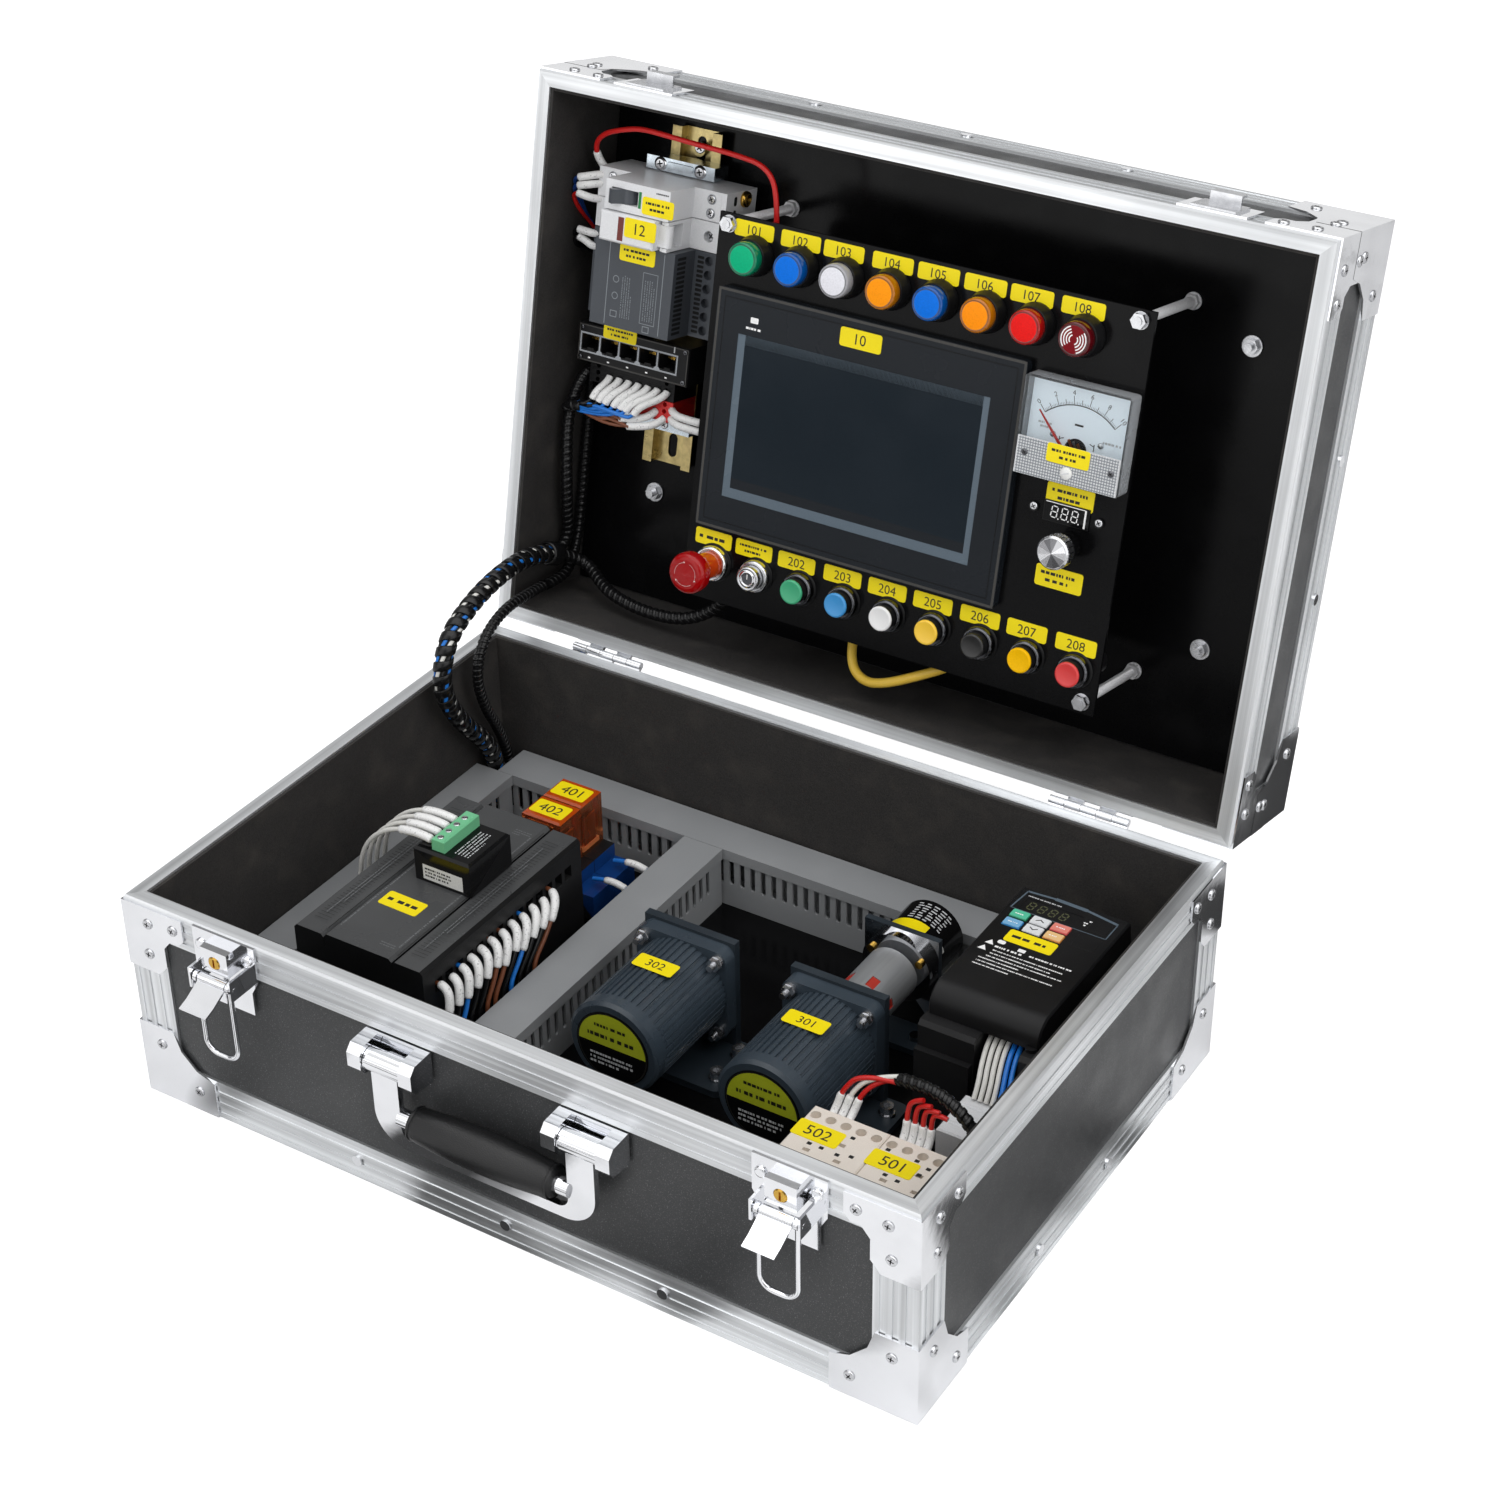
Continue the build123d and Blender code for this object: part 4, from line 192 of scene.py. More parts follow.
def finish(name, colour, rough=0.4, metal=0.0, spread=0.12, grain=900.0, bump=0.15, depth=0.0002,
           cells=False, stretch=(1, 1, 1), turn=0.0, patch=28.0, worn=None, worn_share=0.35, speck=None,
           speck_size=1500.0, speck_share=0.35, coat=0.0, clear=0.0, ior=1.45, specular=0.5, glow=0.0):
    """A material whose colour, gloss and bump come from noise at the scale of the real surface.

    spread is how far the fine grain darkens and lightens the colour; worn shows in broad patches and
    speck in small spots; stretch draws the grain out along an axis of a frame turned about x.
    """
    material = bpy.data.materials.new(name)
    nodes = Nodes(material)
    shader = nodes.tree.nodes["Principled BSDF"]
    nodes.put(shader, {"Metallic": metal, "Coat Weight": coat, "Transmission Weight": clear, "IOR": ior,
                       "Specular IOR Level": specular})
    place = nodes.add("TexCoord").outputs["Object"]
    scale = nodes.add("Mapping", {"Scale": [1 / part for part in stretch], "Rotation": (turn, 0, 0),
                                  "Vector": place})
    scale.vector_type = "TEXTURE"
    scaled = scale.outputs["Vector"]
    fine = nodes.noise(scaled, grain, 3.0)
    broad = nodes.noise(place, patch, 4.0)
    base = linear(*colour)
    dark = tuple(c * (1 - spread) for c in base[:3]) + (1.0,)
    pale = tuple(min(1.0, c * (1 + spread)) for c in base[:3]) + (1.0,)
    shade = nodes.mix(nodes.ramp(fine, 0.3, 0.7, 0, 1), dark, pale)
    if worn:
        shade = nodes.mix(nodes.ramp(broad, 0.5, 0.75, 0, worn_share), shade, linear(*worn))
    if speck:
        spots = nodes.ramp(nodes.noise(scaled, speck_size, 1.0), 0.62, 0.72, 0, speck_share)
        shade = nodes.mix(spots, shade, linear(*speck))
    low, high = max(0.02, rough * 0.8), min(1.0, rough * 1.2)
    nodes.put(shader, {"Base Color": shade, "Roughness": nodes.ramp(broad, 0.35, 0.65, low, high)})
    if glow:
        nodes.put(shader, {"Emission Color": shade, "Emission Strength": glow})
    height = fine
    if cells:
        height = nodes.add("TexVoronoi", {"Scale": grain, "Vector": scaled}).outputs["Distance"]
    relief = nodes.add("Bump", {"Strength": bump, "Distance": depth, "Height": height})
    nodes.put(shader, {"Normal": relief.outputs["Normal"]})
    return material


def plastic(name, colour, rough=0.4, **more):
    return finish(name, colour, rough, **{"spread": 0.08, "bump": 0.12, "grain": 2200.0, **more})


def plated(name, colour, rough=0.14, **more):
    return finish(name, colour, rough, metal=1.0, **{"spread": 0.03, "bump": 0.012, "grain": 260.0,
                                                     "worn": (190, 192, 196), "worn_share": 0.15, **more})


def brushed(name, turn=0.0):
    """Brushed aluminium with its grain along x, y or z of a frame turned about x."""
    return [finish(f"{name}_{axis}", (224, 226, 228), 0.38, metal=0.88, spread=0.24, grain=230.0, bump=0.05,
                   stretch=stretch, worn=(156, 159, 164), worn_share=0.15, patch=10.0, turn=turn)
            for axis, stretch in (("x", (0.01, 1, 1)), ("y", (1, 0.01, 1)), ("z", (1, 1, 0.01)))]


laminate = finish("laminate", (52, 53, 54), 0.42, spread=0.22, grain=1700.0, bump=0.5, speck=(150, 150, 152),
                  speck_size=1400.0, speck_share=0.3, worn=(64, 65, 67), worn_share=0.5)
foam = finish("foam", (44, 42, 41), 0.95, spread=0.3, grain=1300.0, bump=0.8, worn=(70, 66, 62),
              worn_share=0.5, patch=45.0)
base_rails = brushed("rail")
lid_rails = brushed("lid_rail", -opening)
chrome = plated("chrome", (236, 237, 240), 0.09, grain=45.0, bump=0.08, depth=0.002)
dark_chrome = plated("dark_chrome", (92, 93, 97), 0.16)
steel = plated("steel", (206, 207, 210), 0.24, spread=0.1)
rod_steel = finish("rod_steel", (214, 214, 216), 0.42, metal=0.35, spread=0.1, worn=(180, 180, 182))
zinc = plated("zinc", (206, 216, 224), 0.26, spread=0.12, worn=(170, 180, 190))
yellow_zinc = plated("yellow_zinc", (190, 172, 120), 0.32, spread=0.2, patch=60.0, worn=(172, 140, 120))
brass = plated("brass", (206, 164, 74), 0.2, worn=(150, 110, 50))
copper = plated("copper", (190, 110, 66), 0.3, worn=(120, 70, 50))
coupling_grey = finish("coupling_grey", (152, 154, 156), 0.34, metal=0.3, spread=0.06, grain=400.0,
                       stretch=(1, 0.05, 1), bump=0.06)
grip_black = finish("grip_black", (24, 24, 25), 0.36, spread=0.2, grain=1500.0, bump=0.6, cells=True)
sheet_black = plastic("sheet_black", (11, 11, 12), 0.2, bump=0.03, worn=(17, 17, 19), specular=0.14)
gloss_black = plastic("gloss_black", (14, 14, 15), 0.12, bump=0.02, specular=0.3)
bezel_black = plastic("bezel_black", (27, 31, 36), 0.24, bump=0.03, worn=(30, 34, 40), specular=0.2)
# A lighter grey for flat bands along outer edges: painted highlight where a rounded edge catches the light.
painted_edge_highlight = plastic("painted_edge_highlight", (66, 65, 63), 0.3, bump=0.03, worn=(78, 76, 72), specular=0.3)
# A darker line inside the bezel's edge: painted shade along a step in the bezel.
bezel_step_shade = plastic("bezel_step_shade", (13, 15, 18), 0.3, bump=0.03, specular=0.2)
satin_black = plastic("satin_black", (22, 22, 23), 0.36, bump=0.35, worn=(29, 29, 30), specular=0.22)
fine_black = plastic("fine_black", (24, 24, 25), 0.45, bump=0.5, worn=(32, 32, 33), specular=0.25)
dark_hole = plastic("dark_hole", (9, 9, 9), 0.7)
duct_grey = plastic("duct_grey", (141, 143, 145), 0.5, spread=0.04, worn=(154, 155, 157), bump=0.2)
# The controller's top in a lighter grey than its sides: partly its own grey, partly painted sheen from above.
controller_top_sheen = plastic("controller_top_sheen", (70, 71, 72), 0.3, bump=0.25, worn=(78, 79, 80), specular=0.4)
motor_blue = plastic("motor_blue", (52, 62, 71), 0.32, bump=0.25, worn=(68, 79, 90), coat=0.15)
bracket_blue = plastic("bracket_blue", (38, 46, 53), 0.35, bump=0.25, worn=(60, 68, 76))
cream = plastic("cream", (226, 217, 206), 0.42, worn=(236, 230, 222))
pale_grey = plastic("pale_grey", (220, 221, 223), 0.36, worn=(230, 230, 231))
slate = plastic("slate", (66, 70, 76), 0.45, worn=(82, 86, 92), bump=0.3)
white_plastic = plastic("white_plastic", (232, 232, 230), 0.35)
relay_orange = plastic("relay_orange", (244, 100, 26), 0.1, clear=0.55, worn=(250, 130, 60), bump=0.03)
relay_side = plastic("relay_side", (250, 150, 96), 0.08, clear=0.92, bump=0.02, ior=1.2)
relay_blue = plastic("relay_blue", (22, 70, 140), 0.18, coat=0.3, clear=0.3)
mint = plastic("mint", (112, 190, 142), 0.45)
label_yellow = plastic("label_yellow", (246, 224, 16), 0.42, spread=0.03, worn=(242, 216, 10), specular=0.3)
label_white = plastic("label_white", (226, 226, 222), 0.5)
ink = plastic("ink", (24, 22, 18), 0.5)
pale_ink = plastic("pale_ink", (196, 198, 200), 0.5)
faint_ink = plastic("faint_ink", (128, 133, 138), 0.5)
dim_ink = plastic("dim_ink", (104, 106, 108), 0.5)
white_ink = plastic("white_ink", (244, 244, 244), 0.4)
strip_line = plastic("strip_line", (160, 164, 169), 0.4)
grid_line = plastic("grid_line", (128, 133, 139), 0.4)
disc_green = plastic("disc_green", (176, 186, 40), 0.35, worn=(196, 204, 60))
digit_green = plastic("digit_green", (90, 92, 66), 0.3)
mark_green = plastic("mark_green", (24, 120, 60), 0.4)
mark_brown = plastic("mark_brown", (110, 44, 38), 0.4)
needle_red = plastic("needle_red", (200, 40, 34), 0.35)
toggle_grey = plastic("toggle_grey", (70, 74, 80), 0.35)
display_glass = plastic("display_glass", (27, 35, 42), 0.12, bump=0.01, worn=(30, 38, 46), specular=0.14)
print_grey = plastic("print_grey", (92, 105, 116), 0.24, bump=0.03, worn=(98, 111, 122), specular=0.25)
clear_cover = plastic("clear_cover", (240, 243, 244), 0.05, clear=1.0, bump=0.01, spread=0.01, specular=0.12,
                      ior=1.3)
cover_edge = plastic("cover_edge", (190, 193, 196), 0.25, clear=0.5, specular=0.3)
frosted = plastic("frosted", (212, 214, 216), 0.35, bump=0.3, grain=700.0, specular=0.3)
# The dial's pale colour with a glow added: painted light, for the dial is no lamp.
dial_white_glow = plastic("dial_white_glow", (224, 233, 240), 0.5, spread=0.02, glow=0.3)
elastomer = plastic("elastomer", (176, 44, 28), 0.5)
mustard = plastic("mustard", (222, 184, 66), 0.38, worn=(232, 198, 90))
wire_white = plastic("wire_white", (222, 221, 216), 0.4)
wire_red = plastic("wire_red", (200, 28, 26), 0.32)
wire_blue = plastic("wire_blue", (34, 118, 208), 0.32)
wire_navy = plastic("wire_navy", (26, 62, 128), 0.3)
wire_brown = plastic("wire_brown", (120, 70, 46), 0.4)
sleeve_white = plastic("sleeve_white", (236, 236, 235), 0.36, speck=(120, 122, 126), speck_size=750.0,
                       speck_share=0.5)
wrap_black = plastic("wrap_black", (19, 19, 20), 0.22, bump=0.3, specular=0.4)
stop_red = plastic("stop_red", (158, 4, 8), 0.14, coat=0.2, bump=0.02, specular=0.3)
# The stop's stem and the lower edge of its cap: orange, partly the translucent plastic and partly painted
# glow of light through the red.
stop_orange_glow = plastic("stop_orange_glow", (196, 62, 16), 0.16, coat=0.4, bump=0.03, worn=(206, 96, 20),
                      patch=90.0)

lens_colours = ((2, 168, 118), (0, 106, 212), (220, 220, 226), (244, 146, 4), (0, 106, 212), (244, 140, 4),
                (222, 22, 20), (116, 6, 18))


def shaded_lens_gloss(kind, share, rough):
    """A glossy plastic for each lamp, in its colour darkened to a share: painted shade for the lens's rounded
    side and for the rim round its face.
    """
    return [plastic(f"{kind}_{i}", tuple(round(part * share) for part in colour), rough, coat=0.3, bump=0.04)
            for i, colour in enumerate(lens_colours)]


# Darker copies of the lamp colours, as painted shade: the lens sides at about three quarters, the rims round
# the faces darker still.
shaded_lenses = shaded_lens_gloss("lens", 0.72, 0.16)
shaded_lens_rims = shaded_lens_gloss("lens_rim", 0.42, 0.12)
lens_faces = [plastic(f"lens_face_{i}", colour, 0.35, cells=True, grain=1100.0, bump=0.12, glow=0.1,
                      specular=0.15) for i, colour in enumerate(lens_colours)]
cap_colours = {"green": (0, 80, 44), "blue": (0, 80, 146), "white": (244, 244, 244), "yellow": (250, 190, 0),
               "black": (8, 8, 9), "amber": (250, 190, 0), "red": (220, 24, 20)}
caps = {name: plastic(f"cap_{name}", colour, 0.4, grain=1500.0, specular=0.15)
        for name, colour in cap_colours.items()}
key_colours = {"key_green": (20, 132, 96), "key_up": (224, 226, 228), "key_red": (222, 88, 84),
               "key_blue": (44, 128, 188), "key_down": (224, 226, 228), "key_amber": (222, 148, 70)}
keys = {name: plastic(name, colour, 0.3) for name, colour in key_colours.items()}


def own_colour(name):
    """The material of that name that came with the CAD, or the one made here where the CAD has none."""
    return bpy.data.materials[name]


# Materials on the CAD nodes


def paint(node, base, *rules):
    """Gives a node its material, and other materials to the faces whose centres pass a test."""
    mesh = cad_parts[node].data
    mesh.materials.clear()
    mesh.materials.append(base)
    if not rules:
        return
    count = len(mesh.polygons)
    centres, normals = np.zeros(count * 3), np.zeros(count * 3)
    mesh.polygons.foreach_get("center", centres)
    mesh.polygons.foreach_get("normal", normals)
    centres, normals = centres.reshape(-1, 3), normals.reshape(-1, 3)
    index = np.zeros(count, np.int32)
    for material, place, test in rules:
        u, v, w = place.local(centres).T
        up = (normals @ place.axes.T)[:, 2]
        if material.name not in mesh.materials:
            mesh.materials.append(material)
        index[test(u, v, w, up)] = mesh.materials.find(material.name)
    mesh.polygons.foreach_set("material_index", index)


def box(u=ALL, v=ALL, w=ALL, up=ALL, flat=None, ring=None):
    """A test of faces: centre and upward normal between limits, flat or upright, and within a ring.

    The ring is given as the u and v of its axis, its inner radius and its outer radius.
    """

    def test(*values):
        found = np.ones(len(values[0]), bool)
        for value, (low, high) in zip(values, (u, v, w, up)):
            found &= (value > low) & (value < high)
        if flat is not None:
            found &= (np.abs(values[3]) > 0.5) == flat
        if ring:
            reach = np.hypot(values[0] - ring[0], values[1] - ring[1])
            found &= (reach >= ring[2]) & (reach < ring[3])
        return found

    return test


def above(level):
    return box(w=(level, FAR))


def below(level):
    return box(w=(-FAR, level))


def rails_by_run(node, place, height, metals):
    """Brushed metal that runs along each rail: along x, along y, and up the corner posts."""

    def side_rails(u, v, w, up):
        return (np.abs(u) > 222.5) & (np.abs(v) < 173)

    def posts(u, v, w, up):
        return (np.abs(u) > 222.5) & (np.abs(v) > 142.5) & (np.abs(w - height) < 45)

    along, across, upright = metals
    paint(node, along, (across, place, side_rails), (upright, place, posts))


for node, material in {"base_panels": laminate, "lid_panels": laminate, "base_lining": foam,
                       "lid_lining": foam, "base_hinge_leaves": chrome, "lid_hinge_leaves": chrome,
                       "handle_arms": chrome, "latch_lever_left": chrome, "latch_lever_right": chrome,
                       "latch_bail_left": chrome, "latch_bail_right": chrome, "key_cylinder_left": brass,
                       "key_cylinder_right": brass, "base_fasteners": steel, "wiring_ducts": duct_grey,
                       "motor_brackets": bracket_blue, "motor_2_shaft": steel, "power_button": steel,
                       "meter_needle": needle_red, "breaker_toggle": toggle_grey, "fuse_carrier": pale_grey,
                       **keys}.items():
    paint(node, material)
rails_by_run("base_frame", TOP, 70, base_rails)
rails_by_run("lid_frame", CLOSED_LID, 38, lid_rails)
for node, place in (("base_corners", TOP), ("lid_hardware", CLOSED_LID)):
    paint(node, chrome, (steel, place, lambda u, v, w, up: (np.abs(u) > 251.25) | (np.abs(v) > 171.25)))
paint("front_hardware", chrome,
      *[(dark_hole, FRONT, box((u - 4.6, u + 4.6), (119, 127), (171, 178))) for u in (-178, 178)])
paint("mounting_plate", sheet_black,
      (zinc, TOP, box((-170, -110), (-151, 151), (16.05, FAR))),
      (zinc, TOP, box((120, 240), (-FAR, -90), (16.05, FAR))))
# Upward faces of the controller's top take the lighter grey, partly its own colour and partly painted sheen.
paint("controller", satin_black,
      (controller_top_sheen, TOP, box((-190, -100), w=(92, FAR), up=(0.5, FAR))),
      (gloss_black, TOP, box((-190, FAR), w=(108, FAR))),
      (mint, TOP, above(123.05)),
      (dark_hole, TOP, box((-101, -97.1), w=(79, 88.5), flat=True)))
paint("relays", relay_orange,
      (fine_black, TOP, below(50.01)),
      (relay_blue, TOP, box((-127, FAR), w=(-FAR, 50.01))),
      (relay_side, TOP, box(w=(51, 82))))
paint("motor_housings", motor_blue, (gloss_black, FRONT, above(65.05)))
paint("motor_1_shaft", steel,
      (coupling_grey, FRONT, box(w=(-74.1, -21.9), ring=(MOTORS[1], MOTOR_HEIGHT, 4.5, FAR))),
      (elastomer, FRONT, box(w=(-46.8, -38.2), ring=(MOTORS[1], MOTOR_HEIGHT, 4.5, 15.75))))
paint("encoder", gloss_black,
      (chrome, FRONT, box(v=(38, FAR), w=(-84.05, -77.9))),
      (brass, FRONT, box(v=(30, FAR), w=(-78, -70))),
      (bracket_blue, FRONT, box(w=(-88.05, -84.05))),
      (bracket_blue, FRONT, box(v=(-FAR, 22))))
paint("inverter", fine_black,
      (gloss_black, TOP, box((161, 198), (95, 107), (114, 115.95))),
      (satin_black, TOP, above(100.01)))
paint("contactors", cream,
      (steel, TOP, box((190, FAR), (-46.5, -13), (-FAR, 73), (0.5, FAR))),
      (pale_grey, TOP, box((189.5, FAR), (-46.5, FAR))))
paint("back_plate", sheet_black,
      (yellow_zinc, LID, box((-195, -159), w=(-73.05, -65.4))),
      *[(zinc, LID, box((-FAR, -150), v, (-65.55, FAR))) for v in ((115.9, 124.1), (-41.1, -32.9))],
      *[(yellow_zinc, LID, box((-FAR, -150), v, (-65.55, -65.4))) for v in ((-FAR, 115), (125, FAR))],
      (steel, LID, lambda u, v, w, up: (w > -72.95) & (np.abs(u) > 176) & (np.abs(np.abs(v) - 89) < 9)))
paint("front_plate", sheet_black,
      *[(metal, LID, box((u - 6.5, u + 6.5), (v - 6.5, v + 6.5), w))
        for metal, w in ((steel, (-2.95, FAR)), (rod_steel, (-FAR, -5.05)))
        for u in (-111, 149) for v in (-113, 106)])
# The lamp lenses take the darker copies of their colours: painted shade on their rounded sides.
paint("lamps_and_collars", dark_chrome,
      (satin_black, LID, lambda u, v, w, up: (w < -4.9) | (v > 70)),
      *[(lens, LID, box(w=(5.55, FAR), ring=(lamp_u(i), LAMP_ROW, 0, 9.8))) for i, lens in enumerate(shaded_lenses)],
      *[(metal, LID, box(w=(-4, FAR), ring=(button_u(i), BUTTON_ROW, 0, 14)))
        for i, metal in enumerate((chrome, steel))])
paint("touch_screen", bezel_black, (gloss_black, LID, below(-2.9)))
# The meter's dial glows with painted light.
paint("panel_meters", satin_black,
      (cover_edge, LID, box((91.9, FAR), (10.4, FAR), (-3.05, FAR))),
      (clear_cover, LID, box((91.9, FAR), (10.4, FAR), (7, FAR), flat=True)),
      (dial_white_glow, LID, box((93.7, 154.3), (12.2, 64.8), (-2.9, 0.65))),
      (frosted, LID, box(v=(10.4, 32.1), w=(9.05, FAR))),
      (satin_black, LID, box(v=(-FAR, -5))))
paint("power_devices", pale_grey,
      (slate, LID, box(v=(-FAR, 78.7))),
      (dark_hole, LID, box((-136, -132.2), (-FAR, 78.7), (-FAR, -33), flat=False)))
paint("terminal_devices", satin_black, (wire_red, LID, box(v=(-FAR, -19.1))))
# Below the cap the stop turns orange: partly its plastic, partly painted glow.
paint("emergency_stop", stop_red, (stop_orange_glow, LID, below(16.4)))
paint("input_knob", gloss_black, (steel, LID, above(9.9)))
for name, cap in caps.items():
    paint(f"button_{name}", cap, (satin_black, LID, below(3)))


# Cords: each follows its route's spline


def spline(name, points):
    curve = bpy.data.curves.new(name, "CURVE")
    curve.dimensions = "3D"
    curve.resolution_u = 10
    line = curve.splines.new("NURBS")
    line.points.add(len(points) - 1)
    for point, place in zip(line.points, points):
        point.co = (*place, 1.0)
    line.order_u = 3
    line.use_endpoint_u = True
    piece = bpy.data.objects.new(name, curve)
    scene.collection.objects.link(piece)
    return piece


def followed(piece):
    """The points of a cord's smooth line, in metres."""
    mesh = bpy.data.meshes.new_from_object(piece)
    points = np.array([v.co for v in mesh.vertices])
    bpy.data.meshes.remove(mesh)
    return points


def smooth_line(points):
    """The smooth line that a cord through these points would follow."""
    guide = spline("guide", points)
    line = followed(guide)
    bpy.data.objects.remove(guide)
    return line


def declare(with_pieces=()):
    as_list(with_pieces)


def free_cord(name, points, radius, body, material, node, dress=None):
    """A cord along its spline, with the pieces that dress makes along its line."""
    piece = spline(name, points)
    line = followed(piece)
    piece.data.bevel_depth = radius * MM
    piece.data.bevel_resolution = 4
    piece.data.use_fill_caps = True
    piece.data.materials.append(material)
    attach(piece, body)
    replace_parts(piece, node)
    declare(with_pieces=dress(line) if dress else ())


# Mesh building


def distances(line):
    """How far along a line each of its points is, in millimetres."""
    steps = np.linalg.norm(np.diff(line, axis=0), axis=1)
    return np.concatenate([[0], np.cumsum(steps)]) / MM


def at_marks(line, along, marks):
    return np.array([[np.interp(m, along, line[:, k]) for k in range(3)] for m in marks])


def frames(path):
    """Two directions across a path at each of its points, without twist."""
    runs = np.gradient(path, axis=0)
    runs /= np.linalg.norm(runs, axis=1)[:, None]
    up = np.cross(runs[0], (0.3, 0.5, 0.8))
    up /= np.linalg.norm(up)
    ups, across = [], []
    for run in runs:
        up = up - run * (up @ run)
        up /= np.linalg.norm(up)
        ups.append(up)
        across.append(np.cross(run, up))
    return np.array(ups), np.array(across)


def resampled(line, pitch):
    """A line's points at an even pitch, and how far along it they are."""
    along = distances(line)
    marks = np.linspace(0, along[-1], max(2, int(along[-1] / pitch)))
    return at_marks(line, along, marks), marks


def on_circle(radius, degrees, u=0.0, v=0.0):
    angle = math.radians(degrees)
    return u + radius * math.cos(angle), v + radius * math.sin(angle)


class Build:
    """Gathers shapes, drawn in a local frame, in one mesh with several materials."""

    def __init__(self, place=TOP):
        self.place = place
        self.points, self.faces, self.slots, self.smooth, self.materials = [], [], [], [], []

    def on(self, place):
        """The same mesh, drawn in another frame."""
        other = copy.copy(self)
        other.place = place
        return other

    def moved(self, u, v, w=0.0, turn=0.0):
        return self.on(self.place.moved(u, v, w, turn))

    def add(self, points, faces, material, smooth=False):
        """Takes points in metres, in the world."""
        if material not in self.materials:
            self.materials.append(material)
        start = sum(len(p) for p in self.points)
        self.points.append(np.array(points))
        self.faces += [[start + i for i in face] for face in faces]
        self.slots += [self.materials.index(material)] * len(faces)
        self.smooth += [smooth] * len(faces)

    def draw(self, points, faces, material, smooth=False):
        """Takes points in the local frame."""
        self.add(self.place.world(points), faces, material, smooth)

    def plate(self, u, v, w0, w1, width, height, material, radius=1.0, bevel=0.12, turn=0.0):
        """A plate with round corners and a bevelled top edge."""
        radius = min(radius, width / 2 - 0.01, height / 2 - 0.01)
        points = []
        for w, inset in ((w0, 0), (w1 - bevel, 0), (w1, bevel)):
            for corner, (a, b) in enumerate(((1, 1), (-1, 1), (-1, -1), (1, -1))):
                centre = a * (width / 2 - radius), b * (height / 2 - radius)
                points += [(*on_circle(radius - inset, 90 * corner + 22.5 * step, *centre), w)
                           for step in range(5)]
        n = len(points) // 3
        faces = [[k * n + i, k * n + (i + 1) % n, (k + 1) * n + (i + 1) % n, (k + 1) * n + i]
                 for k in (0, 1) for i in range(n)]
        faces += [list(range(2 * n, 3 * n)), list(range(n - 1, -1, -1))]
        self.moved(u, v, 0, turn).draw(points, faces, material)

    def lathe(self, u, v, profile, material, sides=28, smooth=True):
        """A turned shape from (radius, w) pairs, the outside on the right of the way along them."""
        points = [(*on_circle(max(radius, 0.001), 360 * i / sides), w)
                  for radius, w in profile for i in range(sides)]
        faces = []
        for k in range(len(profile) - 1):
            for i in range(sides):
                j = (i + 1) % sides
                faces.append([k * sides + i, k * sides + j, (k + 1) * sides + j, (k + 1) * sides + i])
        self.moved(u, v).draw(points, faces, material, smooth)

    def arc(self, u, v, w, inner, outer, start, end, material, steps=20):
        """A flat curved band."""
        points = [(*on_circle(radius, start + (end - start) * i / steps, u, v), w)
                  for i in range(steps + 1) for radius in (inner, outer)]
        self.draw(points, [[2 * i, 2 * i + 1, 2 * i + 3, 2 * i + 2] for i in range(steps)], material)

    def bar(self, u, v, w, width, height, material, turn=0.0):
        """A flat printed bar."""
        a, b = width / 2, height / 2
        corners = [(-a, -b, 0), (a, -b, 0), (a, b, 0), (-a, b, 0)]
        self.moved(u, v, w, turn).draw(corners, [[0, 1, 2, 3]], material)

    def outline(self, u0, v0, u1, v1, w, wide, material):
        """A flat frame with mitred corners, inside the given rectangle."""
        points = [(a, b, w) for e in (0, wide) for a, b in ((u0 + e, v0 + e), (u1 - e, v0 + e),
                                                            (u1 - e, v1 - e), (u0 + e, v1 - e))]
        self.draw(points, [[i, (i + 1) % 4, 4 + (i + 1) % 4, 4 + i] for i in range(4)], material)

    def screw(self, u, v, w, radius, metal, turn=20.0):
        """A domed screw head with a cross in it."""
        self.lathe(u, v, [(radius, w), (radius, w + 0.4), (radius * 0.86, w + 0.7), (0, w + 0.8)],
                   metal, 20, False)
        for quarter in (0, 90):
            self.bar(u, v, w + 0.84, radius * 1.25, radius * 0.26, dark_hole, turn + quarter)

    def words(self, u, v, w, width, height, material, rows=1, turn=0.0, weight=0.5):
        """Rows of bars that stand for small print."""
        here = self.moved(u, v, 0, turn)
        pitch = height / rows
        full = 0.95
        for row in range(rows):
            reach = width * (full if row < rows - 1 or rows == 1 else full * chance.uniform(0.5, 0.9))
            left = at = -width / 2 if rows > 2 else -reach / 2
            while at < left + reach - pitch * 0.4:
                long = min(pitch * chance.uniform(0.2, 0.75), left + reach - at)
                here.bar(at + long / 2, height / 2 - pitch * (row + 0.5), w, long, pitch * weight, material)
                at += long + pitch * chance.choice((0.14, 0.14, 0.4))

    def text(self, u, v, w, height, string, material, turn=0.0):
        """Flat figures of that height, centred."""
        curve = bpy.data.curves.new("figures", "FONT")
        curve.body = string
        curve.resolution_u = 3
        holder = bpy.data.objects.new("figures", curve)
        mesh = bpy.data.meshes.new_from_object(holder)
        points = np.array([vertex.co for vertex in mesh.vertices])
        faces = [list(polygon.vertices) for polygon in mesh.polygons]
        bpy.data.objects.remove(holder)
        bpy.data.meshes.remove(mesh)
        low, high = points.min(0), points.max(0)
        points = (points - (low + high) / 2) * (height / (high[1] - low[1]))
        points[:, 2] = w
        self.moved(u, v, 0, turn).draw(points, faces, material)

    def label(self, u, v, w, width, height, figures=None, turn=0.0, rows=2, share=0.56):
        """A yellow label with round corners, and figures or bars on it."""
        self.plate(u, v, w, w + 0.3, width, height, label_yellow, 1.6, 0.08, turn)
        if figures:
            self.text(u, v, w + 0.34, height * share, figures, ink, turn)
        else:
            weight = 0.42 if rows > 1 else 0.3
            self.words(u, v, w + 0.34, width * 0.82, height * 0.66, ink, rows, turn, weight)

